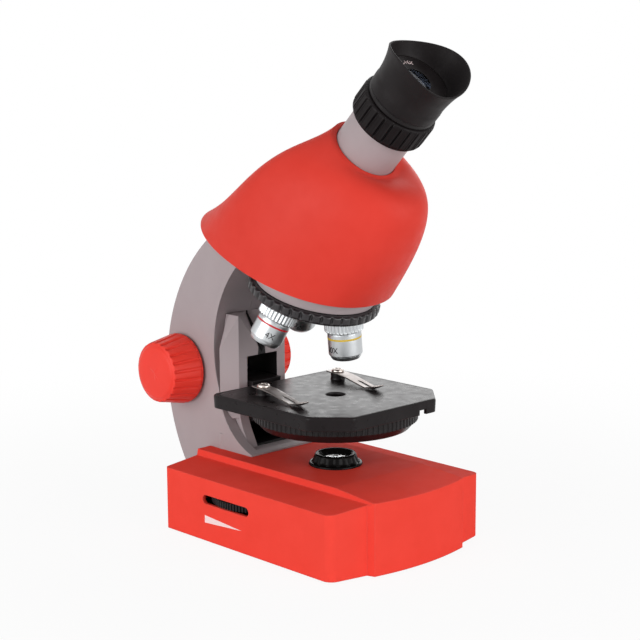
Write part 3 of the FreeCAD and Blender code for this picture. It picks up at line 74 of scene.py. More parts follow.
# Sends a shader to the output of a material's tree or of the world's.
def putOut(tree, shader, kind="OutputMaterial"):
    tree.links.new(shader.outputs[0], addNode(tree, kind).inputs["Surface"])


# Noise whose cells have the given size in mm.
def noise(tree, place, cell, detail, roughness=0.5):
    settings = {"Scale": 1 / (cell * mm), "Detail": detail, "Roughness": roughness}
    return addNode(tree, "TexNoise", settings, {"Vector": place}).outputs["Fac"]


# Roughness that wanders from rough - less to rough + more as the noise runs from low to high.
def handled(tree, blotches, rough, less, more, low=0.3, high=0.7):
    return addNode(tree, "MapRange", {"From Min": low, "From Max": high, "To Min": rough - less,
                                      "To Max": rough + more}, {"Value": blotches}).outputs[0]


# Colour ramp over a value, with two (position, colour) stops.
def ramp(tree, value, first, second):
    shade = addNode(tree, "ValToRGB", links={"Fac": value})
    for stop, (position, colour) in zip(shade.color_ramp.elements, (first, second)):
        stop.position = position
        stop.color = colour
    return shade.outputs["Color"]


def tinted(colour, factor, lift=0.0):
    return tuple(min(1, part * factor + lift) for part in colour[:3]) + (1.0,)


# Normals eased over the radius edge, without and with a height laid on them as relief.
def softened(tree, edge, height, depth):
    soft = addNode(tree, "Bevel", {"samples": 6, "Radius": edge * mm}).outputs[0]
    bump = addNode(tree, "Bump", {"Strength": 1.0, "Distance": depth * mm},
                   {"Height": height, "Normal": soft})
    return soft, bump.outputs[0]


# Size in mm of the noise cells: flow marks of the melt, and blotches of handling per material.
cellSpec = {"flow": 14, "plastic": 5, "metal": 4, "glass": 3, "sleeve": 6}


# Moulded plastic and rubber: faint flow mottling, a fine spark-eroded grain, softened edges that
# are burnished a little lighter, and roughness that varies with handling.
def moulded(hexColour, rough, grain=0.35, depth=0.012, edge=0.5, worn=0.10, mottle=0.03,
            sheen=0.0, specular=0.5):
    spec = {"flatCosine": 0.995, "edgeCosine": 0.86, "paler": 0.75, "lift": 0.25}
    made, tree = newMaterial()
    place = addNode(tree, "TexCoord").outputs["Object"]
    colour = linear(hexColour)
    darker, lighter = tinted(colour, 1 - 3 * mottle), tinted(colour, 1 + 2 * mottle, 0.004)
    flow = noise(tree, place, cellSpec["flow"], 3.0, 0.55)
    shade = ramp(tree, flow, (0.3, darker), (0.7, lighter))
    soft, bump = softened(tree, edge, noise(tree, place, grain, 2.0), depth)
    flat = addNode(tree, "NewGeometry").outputs["Normal"]
    meet = addNode(tree, "VectorMath", {"operation": "DOT_PRODUCT"}, {0: soft, 1: flat})
    wear = addNode(tree, "MapRange", {"From Min": spec["flatCosine"], "To Min": 0.0,
                                      "From Max": spec["edgeCosine"], "To Max": worn},
                   {"Value": meet.outputs["Value"]})
    bare = tinted(colour, spec["paler"], spec["lift"])
    rubbed = addNode(tree, "Mix", {"data_type": "RGBA", 7: bare}, {0: wear.outputs[0], 6: shade})
    gloss = handled(tree, noise(tree, place, cellSpec["plastic"], 4.0), rough, 0.05, 0.06)
    putOut(tree, addNode(tree, "BsdfPrincipled", {
        "Sheen Weight": sheen, "Sheen Roughness": 0.5, "Specular IOR Level": specular},
        {"Base Color": rubbed.outputs[2], "Roughness": gloss, "Normal": bump}))
    return made


# Metal: lay lines of the tool across the UV's second direction on turned pieces, or along one
# object axis on rolled sheet, with blotches in the roughness where it was handled.
def metal(hexColour, rough, line=0.05, turnedLay=True):
    spec = {"stretch": 20.0, "lay": 0.006, "edge": 0.2, "dark": 0.9, "bright": 1.06}
    made, tree = newMaterial()
    coords = addNode(tree, "TexCoord")
    scale = (spec["stretch"], 1 / (line * mm), spec["stretch"])
    along = addNode(tree, "Mapping", {"Scale": scale},
                    {"Vector": coords.outputs["UV" if turnedLay else "Object"]})
    lines = addNode(tree, "TexNoise", {"Scale": 1.0, "Detail": 3.0},
                    {"Vector": along.outputs[0]}).outputs["Fac"]
    colour = linear(hexColour)
    shade = ramp(tree, lines, (0.25, tinted(colour, spec["dark"])),
                 (0.75, tinted(colour, spec["bright"])))
    blotches = noise(tree, coords.outputs["Object"], cellSpec["metal"], 3.0)
    gloss = handled(tree, blotches, rough, 0.04, 0.07)
    bump = softened(tree, spec["edge"], lines, spec["lay"])[1]
    putOut(tree, addNode(tree, "BsdfPrincipled", {"Metallic": 1.0},
                         {"Base Color": shade, "Roughness": gloss, "Normal": bump}))
    return made


# Clear and dyed acrylic and glass: refracting, with a trace of haze where it is touched.
def clear(hexColour, rough=0.03, weight=0.92):
    made, tree = newMaterial()
    place = addNode(tree, "TexCoord").outputs["Object"]
    gloss = handled(tree, noise(tree, place, cellSpec["glass"], 3.0), rough, 0.0, 0.05)
    putOut(tree, addNode(tree, "BsdfPrincipled", {
        "Base Color": linear(hexColour), "IOR": 1.49, "Transmission Weight": weight},
        {"Roughness": gloss}))
    return made


# Bands of colour along one object axis: (where a band starts, hex) pairs, in mm.
def banded(axis, bands, low, high, rough):
    made, tree = newMaterial()
    place = addNode(tree, "TexCoord").outputs["Object"]
    parts = addNode(tree, "SeparateXYZ", links={"Vector": place})
    share = addNode(tree, "MapRange", {"From Min": low * mm, "From Max": high * mm},
                    {"Value": parts.outputs[axis]})
    steps = addNode(tree, "ValToRGB", links={"Fac": share.outputs[0]})
    steps.color_ramp.interpolation = "CONSTANT"
    for index, (start, hexColour) in enumerate(bands):
        at = (start - low) / (high - low)
        stop = steps.color_ramp.elements[0] if index == 0 else steps.color_ramp.elements.new(at)
        stop.position = at
        stop.color = linear(hexColour)
    gloss = handled(tree, noise(tree, place, cellSpec["sleeve"], 4.0), rough, 0.08, 0.08, 0.0, 1.0)
    putOut(tree, addNode(tree, "BsdfPrincipled", links={"Base Color": steps.outputs["Color"],
                                                        "Roughness": gloss}))
    return made


# The slide guide's plastic, in mm: grey, with painted shade in black in the slot, where |x| < slot
# up to slotTop, and in the seam above it, whose half width shrinks evenly from wide at slotTop to
# slim at peak.
def slotPaintedShade(greyHex, paintedShadeHex, rough):
    spec = {"slot": 11.35, "slotTop": 94.95, "peak": 119.0, "wide": 2.9, "slim": 0.5,
            "edge": 0.5, "grain": 0.35, "depth": 0.012}
    made, tree = newMaterial()
    place = addNode(tree, "TexCoord").outputs["Object"]
    parts = addNode(tree, "SeparateXYZ", links={"Vector": place})
    aside = addNode(tree, "Math", {"operation": "ABSOLUTE"}, {0: parts.outputs["X"]})
    slotTop = spec["slotTop"] * mm
    seam = addNode(tree, "MapRange", {"From Min": slotTop, "From Max": spec["peak"] * mm,
                                      "To Min": spec["wide"] * mm, "To Max": spec["slim"] * mm},
                   {"Value": parts.outputs["Z"]})
    over = addNode(tree, "Math", {"operation": "GREATER_THAN", 1: slotTop}, {0: parts.outputs["Z"]})
    bound = addNode(tree, "Mix", {"data_type": "FLOAT", 2: spec["slot"] * mm},
                    {0: over.outputs[0], 3: seam.outputs[0]})
    inside = addNode(tree, "Math", {"operation": "LESS_THAN"},
                     {0: aside.outputs[0], 1: bound.outputs[0]})
    # the black is painted shade: the slot's depth and the seam above it drawn dark in the guide's
    # grey
    tint = addNode(tree, "Mix", {"data_type": "RGBA", 6: linear(greyHex), 7: linear(paintedShadeHex)},
                   {0: inside.outputs[0]})
    gloss = handled(tree, noise(tree, place, cellSpec["plastic"], 4.0), rough, 0.05, 0.06)
    bump = softened(tree, spec["edge"], noise(tree, place, spec["grain"], 2.0), spec["depth"])[1]
    putOut(tree, addNode(tree, "BsdfPrincipled", {"Specular IOR Level": 0.25},
                         {"Base Color": tint.outputs[2], "Roughness": gloss, "Normal": bump}))
    return made


finishes = {
    # injection-moulded ABS, satin, red
    "redAbs": moulded("#f0483b", 0.6, edge=0.9, worn=0.12, mottle=0.006, specular=0.02),
    # the hood's ABS: the base's red painted one shade deeper, as painted shade, with the light
    # grain of a large mould
    "redHoodPaintedShade": moulded("#d63b2f", 0.5, edge=0.9, worn=0.12, mottle=0.006, specular=0.12),
    # the knobs' ABS: the base's red painted slightly deeper, as painted shade, and handled smoother
    "redKnobPaintedShade": moulded("#ee3d30", 0.42, edge=0.35, worn=0.10, mottle=0.006, specular=0.2),
    # injection-moulded ABS, satin, warm grey
    "greyAbs": moulded("#a69a9c", 0.5, edge=0.6, worn=0.10, mottle=0.006, specular=0.3),
    # the slide guide: the same grey, with painted shade in black in its slot and seam
    "greyWithPaintedSlotShade": slotPaintedShade("#a69a9c", "#0e0a0b", 0.5),
    # the turret ring's ABS: black painted lighter than the other black ABS, as painted highlight on
    # its lands; its ribs polished by fingers
    "blackRibsPaintedHighlight": moulded("#211d20", 0.3, edge=0.3, worn=0.16, mottle=0.03, specular=0.45),
    # injection-moulded ABS, black, half gloss
    "blackAbs": moulded("#161112", 0.36, edge=0.4, worn=0.06, mottle=0.04, specular=0.18),
    # black ABS of the zoom ring, etched matt so that it grips
    "blackMatt": moulded("#110c0d", 0.45, grain=0.5, depth=0.02, edge=0.25, worn=0.05,
                         mottle=0.03, specular=0.1),
    # the stage's black ABS with a visible spark-eroded grain
    "blackStage": moulded("#191415", 0.3, grain=0.6, depth=0.003, edge=0.4,
                          worn=0.04, mottle=0.02, specular=0.12),
    # polished black ABS of the lamp housing
    "blackGloss": moulded("#0c0b0b", 0.2, depth=0.004, edge=0.3, worn=0.03,
                          mottle=0.04, specular=0.06),
    # moulded elastomer of the eyecup and the feet
    "rubber": moulded("#140f10", 0.5, grain=0.6, depth=0.03, edge=0.3, worn=0.05,
                      mottle=0.04, sheen=0.02, specular=0.12),
    # turned aluminium, bead blasted and clear anodised
    "aluminium": metal("#c3c6c8", 0.34),
    # bright turned nickel of the screw heads
    "nickel": metal("#c9bfb8", 0.22, line=0.03),
    # rolled spring steel of the clips, ground along its length
    "springSteel": metal("#928b88", 0.34, line=0.08, turnedLay=False),
    # zinc-plated steel of screws and shaft
    "zinc": metal("#b0b0ab", 0.32, line=0.10, turnedLay=False),
    # turned brass of the bushes
    "brass": metal("#c9a45a", 0.30, line=0.10, turnedLay=False),
    # natural moulded nylon of gear, rack and washers
    "nylon": moulded("#dcd8cd", 0.5, edge=0.15, worn=0.05),
    # glass-fibre board under green solder mask
    "board": moulded("#1f5a36", 0.36, grain=1.2, depth=0.02, edge=0.1, worn=0.3),
    # blue plastic case of the dimmer's resistor
    "caseBlue": moulded("#2b4c86", 0.4, edge=0.2, worn=0.05),
    # printed sleeve of the cells: dark body, copper-coloured end
    "cells": banded(1, ((-70, "#b67a3c"), (-54, "#24262b")), -70, 0, 0.3),
    # polished acrylic of the lamp's lens and the prism
    "acrylic": clear("#f4f8fa"),
    # glass lenses with a bluish anti-reflection coat, their tint painted darker than clear glass as
    # painted shade inside the eyecup
    "coatedGlassPaintedShade": clear("#8f9cb8", 0.02, 1.0),
    # water-clear epoxy of the light-emitting diode, slightly warm
    "ledEpoxy": clear("#fff6dc", 0.06, 0.55),
    # dyed acrylic discs of the filter wheel, one colour each
    "gels": banded(0, ((-4, "#2f6fd0"), (3, "#e0b428"), (9, "#3fa24c")), -4, 16, 0.12),
    # enamel filled into the rings of the objectives
    "enamelRed": moulded("#c8242c", 0.3, edge=0.05, worn=0.0),
    "enamelYellow": moulded("#d9b51f", 0.3, edge=0.05, worn=0.0),
    "enamelBlue": moulded("#2a5fb4", 0.3, edge=0.05, worn=0.0),
    # printed figures and the wedge
    "inkBlack": moulded("#101012", 0.5, edge=0.02, worn=0.0),
    "inkWhite": moulded("#f6dedd", 0.5, edge=0.02, worn=0.0, mottle=0.01),
}
for name, made in finishes.items():
    made.name = name

carried = {
    "redAbs": ("base_shell",),
    "greyAbs": ("arm_left_shell", "arm_right_shell", "head_core"),
    # the slide guides take the grey with painted shade in the slot and seam
    "greyWithPaintedSlotShade": ("slide_guide_left", "slide_guide_right"),
    "blackAbs": ("base_plate", "battery_tray", "battery_door", "slide_carriage", "stage_bracket",
                 "dimmer_wheel", "filter_disc", "eyepiece_barrel", "zoom_lens_carrier",
                 "lens_plate"),
    "rubber": ("rubber_feet",),
    "zinc": ("case_screws", "arm_screws", "stage_screws", "turret_screw", "disc_pivot",
             "focus_shaft"),
    "springSteel": ("battery_contacts",),
    "brass": ("shaft_bush_left", "shaft_bush_right"),
    "nylon": ("focus_pinion", "focus_rack", "friction_washers"),
    "board": ("circuit_board",),
    "caseBlue": ("dimmer_potentiometer",),
    "cells": ("battery_cells",),
    "acrylic": ("lamp_lens", "light_prism"),
    # the lenses' glass is tinted darker than clear glass, as painted shade inside the eyecup
    "coatedGlassPaintedShade": ("eye_lens", "zoom_lens", "front_lenses"),
    "ledEpoxy": ("lamp_led",),
    "gels": ("filter_gels",),
}
for finish, names in carried.items():
    for name in names:
        nodes[name].data.materials.clear()
        nodes[name].data.materials.append(finishes[finish])
print("materials made:", len(finishes))


# ---- mesh helpers, all in mm

# Several of a piece's values at once, named in one string.
def pick(spec, names):
    return (spec[name] for name in names.split())


# Outline with eased corners (a, b, ease): near corner C the line is the parabola
# (1 - t)^2 A + 2 t (1 - t) C + t^2 B, where A and B lie at the distance ease from C.
def eased(corners, steps=4):
    table = np.array(corners, float)
    corner, ease = table[:, :2], table[:, 2:3]
    before = np.roll(corner, 1, 0) - corner
    after = np.roll(corner, -1, 0) - corner
    start = corner + ease * before / np.maximum(np.linalg.norm(before, axis=1, keepdims=True), 1e-9)
    end = corner + ease * after / np.maximum(np.linalg.norm(after, axis=1, keepdims=True), 1e-9)
    t = np.linspace(0, 1, steps + 1)[:, None, None]
    curve = (1 - t) ** 2 * start + 2 * t * (1 - t) * corner + t ** 2 * end
    return curve.transpose(1, 0, 2).reshape(-1, 2)


# Right-handed axes with the given origin; axis and across needn't be square to each other.
def axesAt(origin, axis, across):
    axis = np.array(axis, float) / np.linalg.norm(axis)
    side = np.cross(across, axis)
    side /= np.linalg.norm(side)
    return np.array(origin, float), side, np.cross(axis, side), axis


# Point at radius r, angle t and height h: origin + r (cos t side + sin t across) + h axis
def polar(place, radius, turn, height):
    origin, side, across, axis = place
    radius, turn, height = (part[..., None] for part in np.broadcast_arrays(radius, turn, height))
    return origin + radius * (np.cos(turn) * side + np.sin(turn) * across) + height * axis


# count angles round the full turn, as one row
def around(count):
    return np.linspace(0, fullTurn, count, endpoint=False)[None, :]


# Lathe surface: point (i, j) lies at the radius r_i + rise_ij, the angle t_j and the height h_i.
def lathe(profile, place, count, rise=None):
    radius, height = profile[:, :1], profile[:, 1:2]
    if rise is not None:
        radius = radius + rise(height, around(count))
    return polar(place, radius, around(count), height)


# Land 1, groove 0, round a rim: phase p runs 0 in the middle of a land to 1 in a groove's middle,
# and the flank is smoothstep((land - p) / soft + 1/2).
def ribWave(turn, count, land, soft):
    phase = np.abs((turn * count / fullTurn) % 1 - 0.5) * 2
    flank = np.clip((land - phase) / soft + 0.5, 0, 1)
    return flank ** 2 * (3 - 2 * flank)


# 1 between low and high, falling to 0 over soft outside them
def band(value, low, high, soft):
    inside = np.clip((value - low) / soft + 1, 0, 1) * np.clip((high - value) / soft + 1, 0, 1)
    return inside ** 2 * (3 - 2 * inside)


# One object from grids of points (rows, columns, 3): columns always close on themselves; rows
# close too when loop is set, and otherwise end on the axis. The UV is arc length in metres.
def makePiece(name, grids, body, finish, replaced=(), loop=True):
    points, faces, uvs, start = [], [], [], 0
    for grid in grids:
        rows, columns = grid.shape[:2]
        lastRow = rows if loop else rows - 1
        i, j = np.meshgrid(np.arange(lastRow), np.arange(columns), indexing="ij")
        nextRow, nextColumn = (i + 1) % rows, (j + 1) % columns
        quad = np.stack([i * columns + j, i * columns + nextColumn,
                         nextRow * columns + nextColumn, nextRow * columns + j], -1)
        aside = np.linalg.norm(np.roll(grid, -1, 1) - grid, axis=2).max(0)
        ahead = np.linalg.norm(np.roll(grid, -1, 0) - grid, axis=2).max(1)
        across = np.concatenate([[0], np.cumsum(aside)]) * mm
        climb = np.concatenate([[0], np.cumsum(ahead)]) * mm
        corners = np.stack([np.stack([across[j], climb[i]], -1),
                            np.stack([across[j + 1], climb[i]], -1),
                            np.stack([across[j + 1], climb[i + 1]], -1),
                            np.stack([across[j], climb[i + 1]], -1)], -2)
        points.append(grid.reshape(-1, 3) * mm)
        faces.append(quad.reshape(-1, 4) + start)
        uvs.append(corners.reshape(-1, 2))
        start += rows * columns
    mesh = bpy.data.meshes.new(name)
    mesh.from_pydata(np.concatenate(points).tolist(), [], np.concatenate(faces).tolist())
    layer = mesh.uv_layers.new(name="lay")
    layer.data.foreach_set("uv", np.concatenate(uvs).ravel())
    return dress(name, mesh, body, finish, replaced)


# Merges the points that coincide, turns faces outward and hangs the piece on its body.
def dress(name, mesh, body, finish, replaced=()):
    work = bmesh.new()
    work.from_mesh(mesh)
    bmesh.ops.remove_doubles(work, verts=work.verts, dist=0.002 * mm)
    bmesh.ops.dissolve_degenerate(work, dist=0.0005 * mm, edges=work.edges)
    bmesh.ops.recalc_face_normals(work, faces=work.faces)
    work.to_mesh(mesh)
    work.free()
    mesh.polygons.foreach_set("use_smooth", np.ones(len(mesh.polygons), bool))
    mesh.materials.append(finishes[finish])
    piece = bpy.data.objects.new(name, mesh)
    bpy.context.scene.collection.objects.link(piece)
    weighted = piece.modifiers.new("weighted", "WEIGHTED_NORMAL")
    weighted.weight = 60
    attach(piece, body)
    if replaced:
        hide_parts(*replaced)
    return piece


# Printed figures: a flat text, thick as the ink, whose points go through bend(x, y, z).
def printText(name, words, size, thick, bend, body, finish):
    curve = bpy.data.curves.new(name, "FONT")
    curve.body = words
    curve.size = size
    curve.extrude = thick / 2
    curve.align_x = "CENTER"
    curve.align_y = "CENTER"
    holder = bpy.data.objects.new(name + "Curve", curve)
    bpy.context.scene.collection.objects.link(holder)
    bpy.context.view_layer.update()
    mesh = bpy.data.meshes.new_from_object(
        holder.evaluated_get(bpy.context.evaluated_depsgraph_get()))
    bpy.data.objects.remove(holder)
    bpy.data.curves.remove(curve)
    flat = np.zeros(len(mesh.vertices) * 3)
    mesh.vertices.foreach_get("co", flat)
    x, y, z = flat.reshape(-1, 3).T
    mesh.vertices.foreach_set("co", (bend(x, y, z) * mm).ravel())
    mesh.name = name
    return dress(name, mesh, body, finish)


# ---- places shared by several pieces (mm)

opticFront = 11.7
tubeTilt = math.radians(44.7)
tubeAxis = np.array([0, -math.sin(tubeTilt), math.cos(tubeTilt)])
tubeBack = np.array([0, math.cos(tubeTilt), math.sin(tubeTilt)])
prismPoint = np.array([0, -opticFront, 191.2])
tubePlace = (prismPoint, np.array([1.0, 0, 0]), tubeBack, tubeAxis)

turretTilt = math.radians(18.5)
turretRadius, turretPitch = 37, 20
seatDrop = (turretRadius - turretPitch) * math.tan(turretTilt)
turretOrigin = np.array([0, -opticFront + turretPitch * math.cos(turretTilt)
                         - seatDrop * math.sin(turretTilt), 133])
turretAxis = np.array([0, -math.sin(turretTilt), math.cos(turretTilt)])
turretBack = np.array([0, math.cos(turretTilt), math.sin(turretTilt)])
turretPlace = (turretOrigin, np.array([1.0, 0, 0]), turretBack, turretAxis)


# ---- hood: a one-piece dome from a tilted squarish rim up to the eyepiece tube

hoodSpec = {"width": 98, "depth": 119.4, "tilt": math.radians(22.4), "back": 17.9, "height": 155.5,
            "square": 2.15, "frontSwell": 75.6, "backSwell": 62.2, "frontOut": 1.464,
            "backOut": -0.158, "sideOut": 1.004, "pull": 1.094, "wall": 2.4, "lip": 20.2,
            "reach": 33.8, "bore": 17.65, "rows": 44, "columns": 144}


# Point (share s, turn t) = (R (1-s)^2 + 2 s (1-s) w Q + s^2 T) / ((1-s)^2 + 2 s (1-s) w + s^2):
# R runs round the superellipse of the rim, Q is the control point over it and T lies on the ring
# round the tube. drawnIn moves all three inward by the wall.
def hoodSurface(share, turn, drawnIn):
    spec = hoodSpec
    c, d = np.cos(turn), np.sin(turn)
    size = (np.abs(c) ** spec["square"] + np.abs(d) ** spec["square"]) ** (-1 / spec["square"])
    c, d = c * size, d * size
    half, deep = spec["width"] / 2, spec["depth"] / 2
    sideways = np.array([1.0, 0, 0])
    along = np.array([0, math.cos(spec["tilt"]), math.sin(spec["tilt"])])
    over = np.array([0, -math.sin(spec["tilt"]), math.cos(spec["tilt"])])
    middle = np.array([0, spec["back"], spec["height"]])
    atBack = (1 + d) / 2
    swell = spec["frontSwell"] * (1 - atBack) + spec["backSwell"] * atBack - drawnIn
    out = spec["frontOut"] * (1 - atBack) + spec["backOut"] * atBack
    c, d, swell, out = c[..., None], d[..., None], swell[..., None], out[..., None]
    rim = (middle + (half - drawnIn) * c * sideways + (deep - drawnIn) * d * along
           - over * drawnIn / 2)
    pulled = (middle + (half * spec["sideOut"] - drawnIn) * c * sideways
              + (deep * out - drawnIn) * d * along + swell * over)
    lip = spec["lip"] - drawnIn
    top = prismPoint + tubeAxis * (spec["reach"] - drawnIn) + lip * (c * sideways + d * tubeBack)
    a, b, e = (1 - share) ** 2, 2 * share * (1 - share) * spec["pull"], share ** 2
    a, b, e = a[..., None], b[..., None], e[..., None]
    return (rim * a + pulled * b + top * e) / (a + b + e)


def hoodGrid():
    spec = hoodSpec
    turn, share = around(spec["columns"]), np.linspace(0, 1, spec["rows"])[:, None]
    outer = hoodSurface(share + 0 * turn, turn + 0 * share, 0.0)
    inner = hoodSurface(share[::-1] + 0 * turn, turn + 0 * share, spec["wall"])
    bore, reach = spec["bore"], spec["reach"]
    ring = lathe(np.array([(bore + 0.5, reach), (bore + 0.12, reach - 0.12), (bore, reach - 0.5),
                           (bore, reach - spec["wall"])]), tubePlace, spec["columns"])
    rim, inside = outer[:1], inner[-1:]
    between = [inside * (1 - k) + rim * k for k in (0.06, 0.5, 0.94)]
    return np.concatenate([outer[1:], ring, inner[:-1], inside, *between, rim])


# the hood's red is painted one shade deeper than the base's, as painted shade
makePiece("hoodShell", [hoodGrid()], "microscope", "redHoodPaintedShade", ("hood",))
print("hood made")


# ---- eyepiece: tube, knurled zoom ring, lens plate's figures and the winged eyecup

tubeSpec = {"outer": 17.4, "bore": 15.0, "low": 10.0, "high": 53.8}
makePiece("eyepieceTube", [lathe(eased([
    (tubeSpec["bore"], tubeSpec["low"], 0.2), (tubeSpec["outer"], tubeSpec["low"], 0.3),
    (tubeSpec["outer"], tubeSpec["high"], 0.4), (tubeSpec["bore"], tubeSpec["high"], 0.2)]),
    tubePlace, 144)], "microscope", "greyAbs", ("eyepiece_tube",))

zoomSpec = {"outer": 21.0, "bore": 15.06, "low": 54.1, "high": 69.1, "lands": 26, "groove": 0.85,
            "bead": 0.35}


# Broad lands between narrow grooves, each land's edges raised to a bead.
def zoomRise(height, turn):
    spec = zoomSpec
    inside = band(height, spec["low"] + 1.6, spec["high"] - 1.2, 0.3)
    land = ribWave(turn, spec["lands"], 0.86, 0.1)
    beads = land * (1 - ribWave(turn, spec["lands"], 0.58, 0.1))
    return inside * (spec["bead"] * beads + spec["groove"] * (land - 1)) - spec["bead"]


def zoomGrid():
    spec = zoomSpec
    outer, bore, low, high = pick(spec, "outer bore low high")
    wall = np.stack([np.full(12, outer), np.linspace(low + 1.2, high - 0.9, 12)], -1)
    foot = eased([(bore + 0.35, low, 0.1), (outer - 0.7, low, 0.3)])
    head = eased([(outer - 0.7, high, 0.4), (bore + 0.35, high, 0.1)])
    return lathe(np.concatenate([foot, wall, head]), tubePlace, spec["lands"] * 16, zoomRise)


makePiece("zoomRing", [zoomGrid()], "zoom", "blackMatt", ("zoom_ring",))

cupSpec = {"foot": 71.4, "footRadius": 19.1, "bead": 0.35, "flare": 2.6, "hollow": 0.8,
           "lipWall": 1.0, "lipEase": 0.12, "lipDrop": 0.4, "plateTop": 85.5, "plateRadius": 16.6,
           "seat": 1.5, "seatRadius": 15.05, "rimMean": 95.96, "lean": 2.3, "leanTurn": 1.99,
           "wings": 3.18, "wingTurn": 1.5, "rimRadius": 22.3, "oval": 0.3, "ovalTurn": 1.03,
           "columns": 144}


# Rim of the eyecup, a saddle: height rimMean - lean cos(t - leanTurn) - wings cos(2 (t - wingTurn))
# along the tube and radius rimRadius + oval cos(t - ovalTurn) round it. The wall rises straight
# from the foot, with a bead round it, and flares as q^flare over its height q; inside it opens as
# p^hollow from the plate.
def cupGrid():
    spec = cupSpec
    turn = around(spec["columns"])
    rim = (spec["rimMean"] - spec["lean"] * np.cos(turn - spec["leanTurn"])
           - spec["wings"] * np.cos(2 * (turn - spec["wingTurn"])))
    wide = spec["rimRadius"] + spec["oval"] * np.cos(turn - spec["ovalTurn"])
    narrow, thin = wide - spec["lipWall"], spec["lipEase"]
    foot, plate, plateRadius = pick(spec, "foot plateTop plateRadius")
    q, p = np.linspace(0, 1, 26)[:, None], np.linspace(1, 0, 20)[:, None]
    slim = spec["footRadius"] + spec["bead"] * band(q, 0.05, 0.2, 0.12)
    outer = (slim + (wide - slim) * q ** spec["flare"], foot + (rim - spec["lipDrop"] - foot) * q)
    inner = (plateRadius + (narrow - plateRadius) * p ** spec["hollow"],
             plate + (rim - spec["lipDrop"] - plate) * p)
    crown = [(wide - thin, rim - thin), ((wide + narrow) / 2, rim), (narrow + thin, rim - thin)]
    seat = [(plateRadius, plate - spec["seat"]), (spec["seatRadius"], plate - spec["seat"]),
            (spec["seatRadius"], foot)]
    rows = [outer, *crown, inner, *seat]
    radius, height = (np.concatenate([row[k] + 0 * turn for row in rows]) for k in (0, 1))
    return polar(tubePlace, radius, turn, height)


makePiece("eyecupRubber", [cupGrid()], "microscope", "rubber", ("eyecup",))


plateSpec = {"size": 3.4, "ink": 0.08, "middle": math.radians(95), "radius": 11.9, "level": 85.55}


# Text laid round the lens plate: x goes round at the radius r + y, its foot towards the lens.
def onPlate(x, y, z):
    radius, middle, level = pick(plateSpec, "radius middle level")
    return polar(tubePlace, radius + y, middle - x / radius, level + z)


printText("plateFigures", "5X-16X", plateSpec["size"], plateSpec["ink"], onPlate, "microscope",
          "inkWhite")
print("eyepiece made")


# ---- focus knobs: a domed face with a crown of wedge-shaped ribs behind it

knobSpec = {"back": 89.0, "height": 84.7, "inner": 25.6, "length": 20.5, "rim": 20.4, "tip": 17.2,
            "ribs": 22, "shaft": 3.0, "deep": 1.5, "shallow": 0.35, "lean": 0.5, "recess": 6}


# Grooves deepen towards the face as shallow + (deep - shallow) h / length, and each land leans to
# one side by up to lean / 2 at the face.
def knobRise(height, turn):
    spec = knobSpec
    share = np.clip(height / spec["length"], 0, 1)
    inside = band(height, 2.0, spec["length"] - 2.2, 0.5)
    land = ribWave(turn, spec["ribs"], 0.70, 0.16)
    lean = ((turn * spec["ribs"] / fullTurn) % 1 - 0.5) * land
    depth = spec["shallow"] + (spec["deep"] - spec["shallow"]) * share
    return inside * (depth * (land - 1) - spec["lean"] * share * lean)


def knobGrid(side):
    spec = knobSpec
    place = axesAt((side * spec["inner"], spec["back"], spec["height"]), (side, 0, 0), (0, 1, 0))
    length, rim, tip = pick(spec, "length rim tip")
    recess = length - spec["recess"]
    back = eased([(spec["shaft"] + 0.02, 0, 0.1), (rim - 0.9, 0, 0.4), (rim - 0.12, 1.2, 0.5)])
    wall = np.stack([np.linspace(rim - 0.02, tip, 22), np.linspace(2.2, length - 2.0, 22)], -1)
    front = np.array([(tip - 0.15, length - 1.75), (tip - 1.1, length - 1.55),
                      (tip - 1.55, length - 1.4), (tip - 1.9, length - 1.0),
                      (tip - 2.5, length - 0.55), (tip - 3.6, length - 0.3),
                      (10.0, length - 0.12), (5.0, length - 0.03), (0.01, length),
                      (0.01, recess), (spec["shaft"] + 0.02, recess)])
    return lathe(np.concatenate([back, wall, front]), place, spec["ribs"] * 18, knobRise)


# the knobs' red is painted slightly deeper than the base's, as painted shade
makePiece("knobLeft", [knobGrid(-1)], "focus", "redKnobPaintedShade", ("focus_knob_left", "knob_caps"))
makePiece("knobRight", [knobGrid(1)], "focus", "redKnobPaintedShade", ("focus_knob_right",))
print("knobs made")


# ---- turret and objectives

turretSpec = {"thick": 5.3, "lands": 40, "deep": 1.1, "crown": 0.25, "inset": 0.05, "flat": 10.0}


# Broad lands with narrow grooves round the ring, every land slightly crowned.
def turretRise(height, turn):
    spec = turretSpec
    inside = band(height, 1.0, spec["thick"] - 1.0, 0.3)
    land = ribWave(turn, spec["lands"], 0.78, 0.14)
    crown = ribWave(turn, spec["lands"], 0.3, 0.8)
    return inside * (spec["deep"] * (land - 1) + spec["crown"] * (crown - 1)) - spec["inset"]


def turretGrid():
    spec = turretSpec
    cone, thick = math.tan(turretTilt), spec["thick"]
    low = -(turretRadius - spec["flat"]) * cone
    under = np.array([(0, low), (spec["flat"], low), (spec["flat"] + 1, low + cone)])
    out = np.linspace(13, turretRadius - 1.6, 14)
    slope = np.stack([out, -(turretRadius - out) * cone], -1)
    wall = np.stack([np.full(10, turretRadius), np.linspace(0.9, thick - 0.9, 10)], -1)
    edge = eased([(turretRadius - 0.9, -0.1, 0.3)])
    top = np.array([(turretRadius - 0.9, thick - 0.2), (turretRadius - 1.5, thick), (20, thick),
                    (0, thick)])
    profile = np.concatenate([under, slope, edge, wall, top])
    return lathe(profile, turretPlace, spec["lands"] * 12, turretRise)


# the ring's black is painted lighter than the other black ABS, as painted highlight on the lands
makePiece("turretRing", [turretGrid()], "turret", "blackRibsPaintedHighlight", ("turret",),
          loop=False)

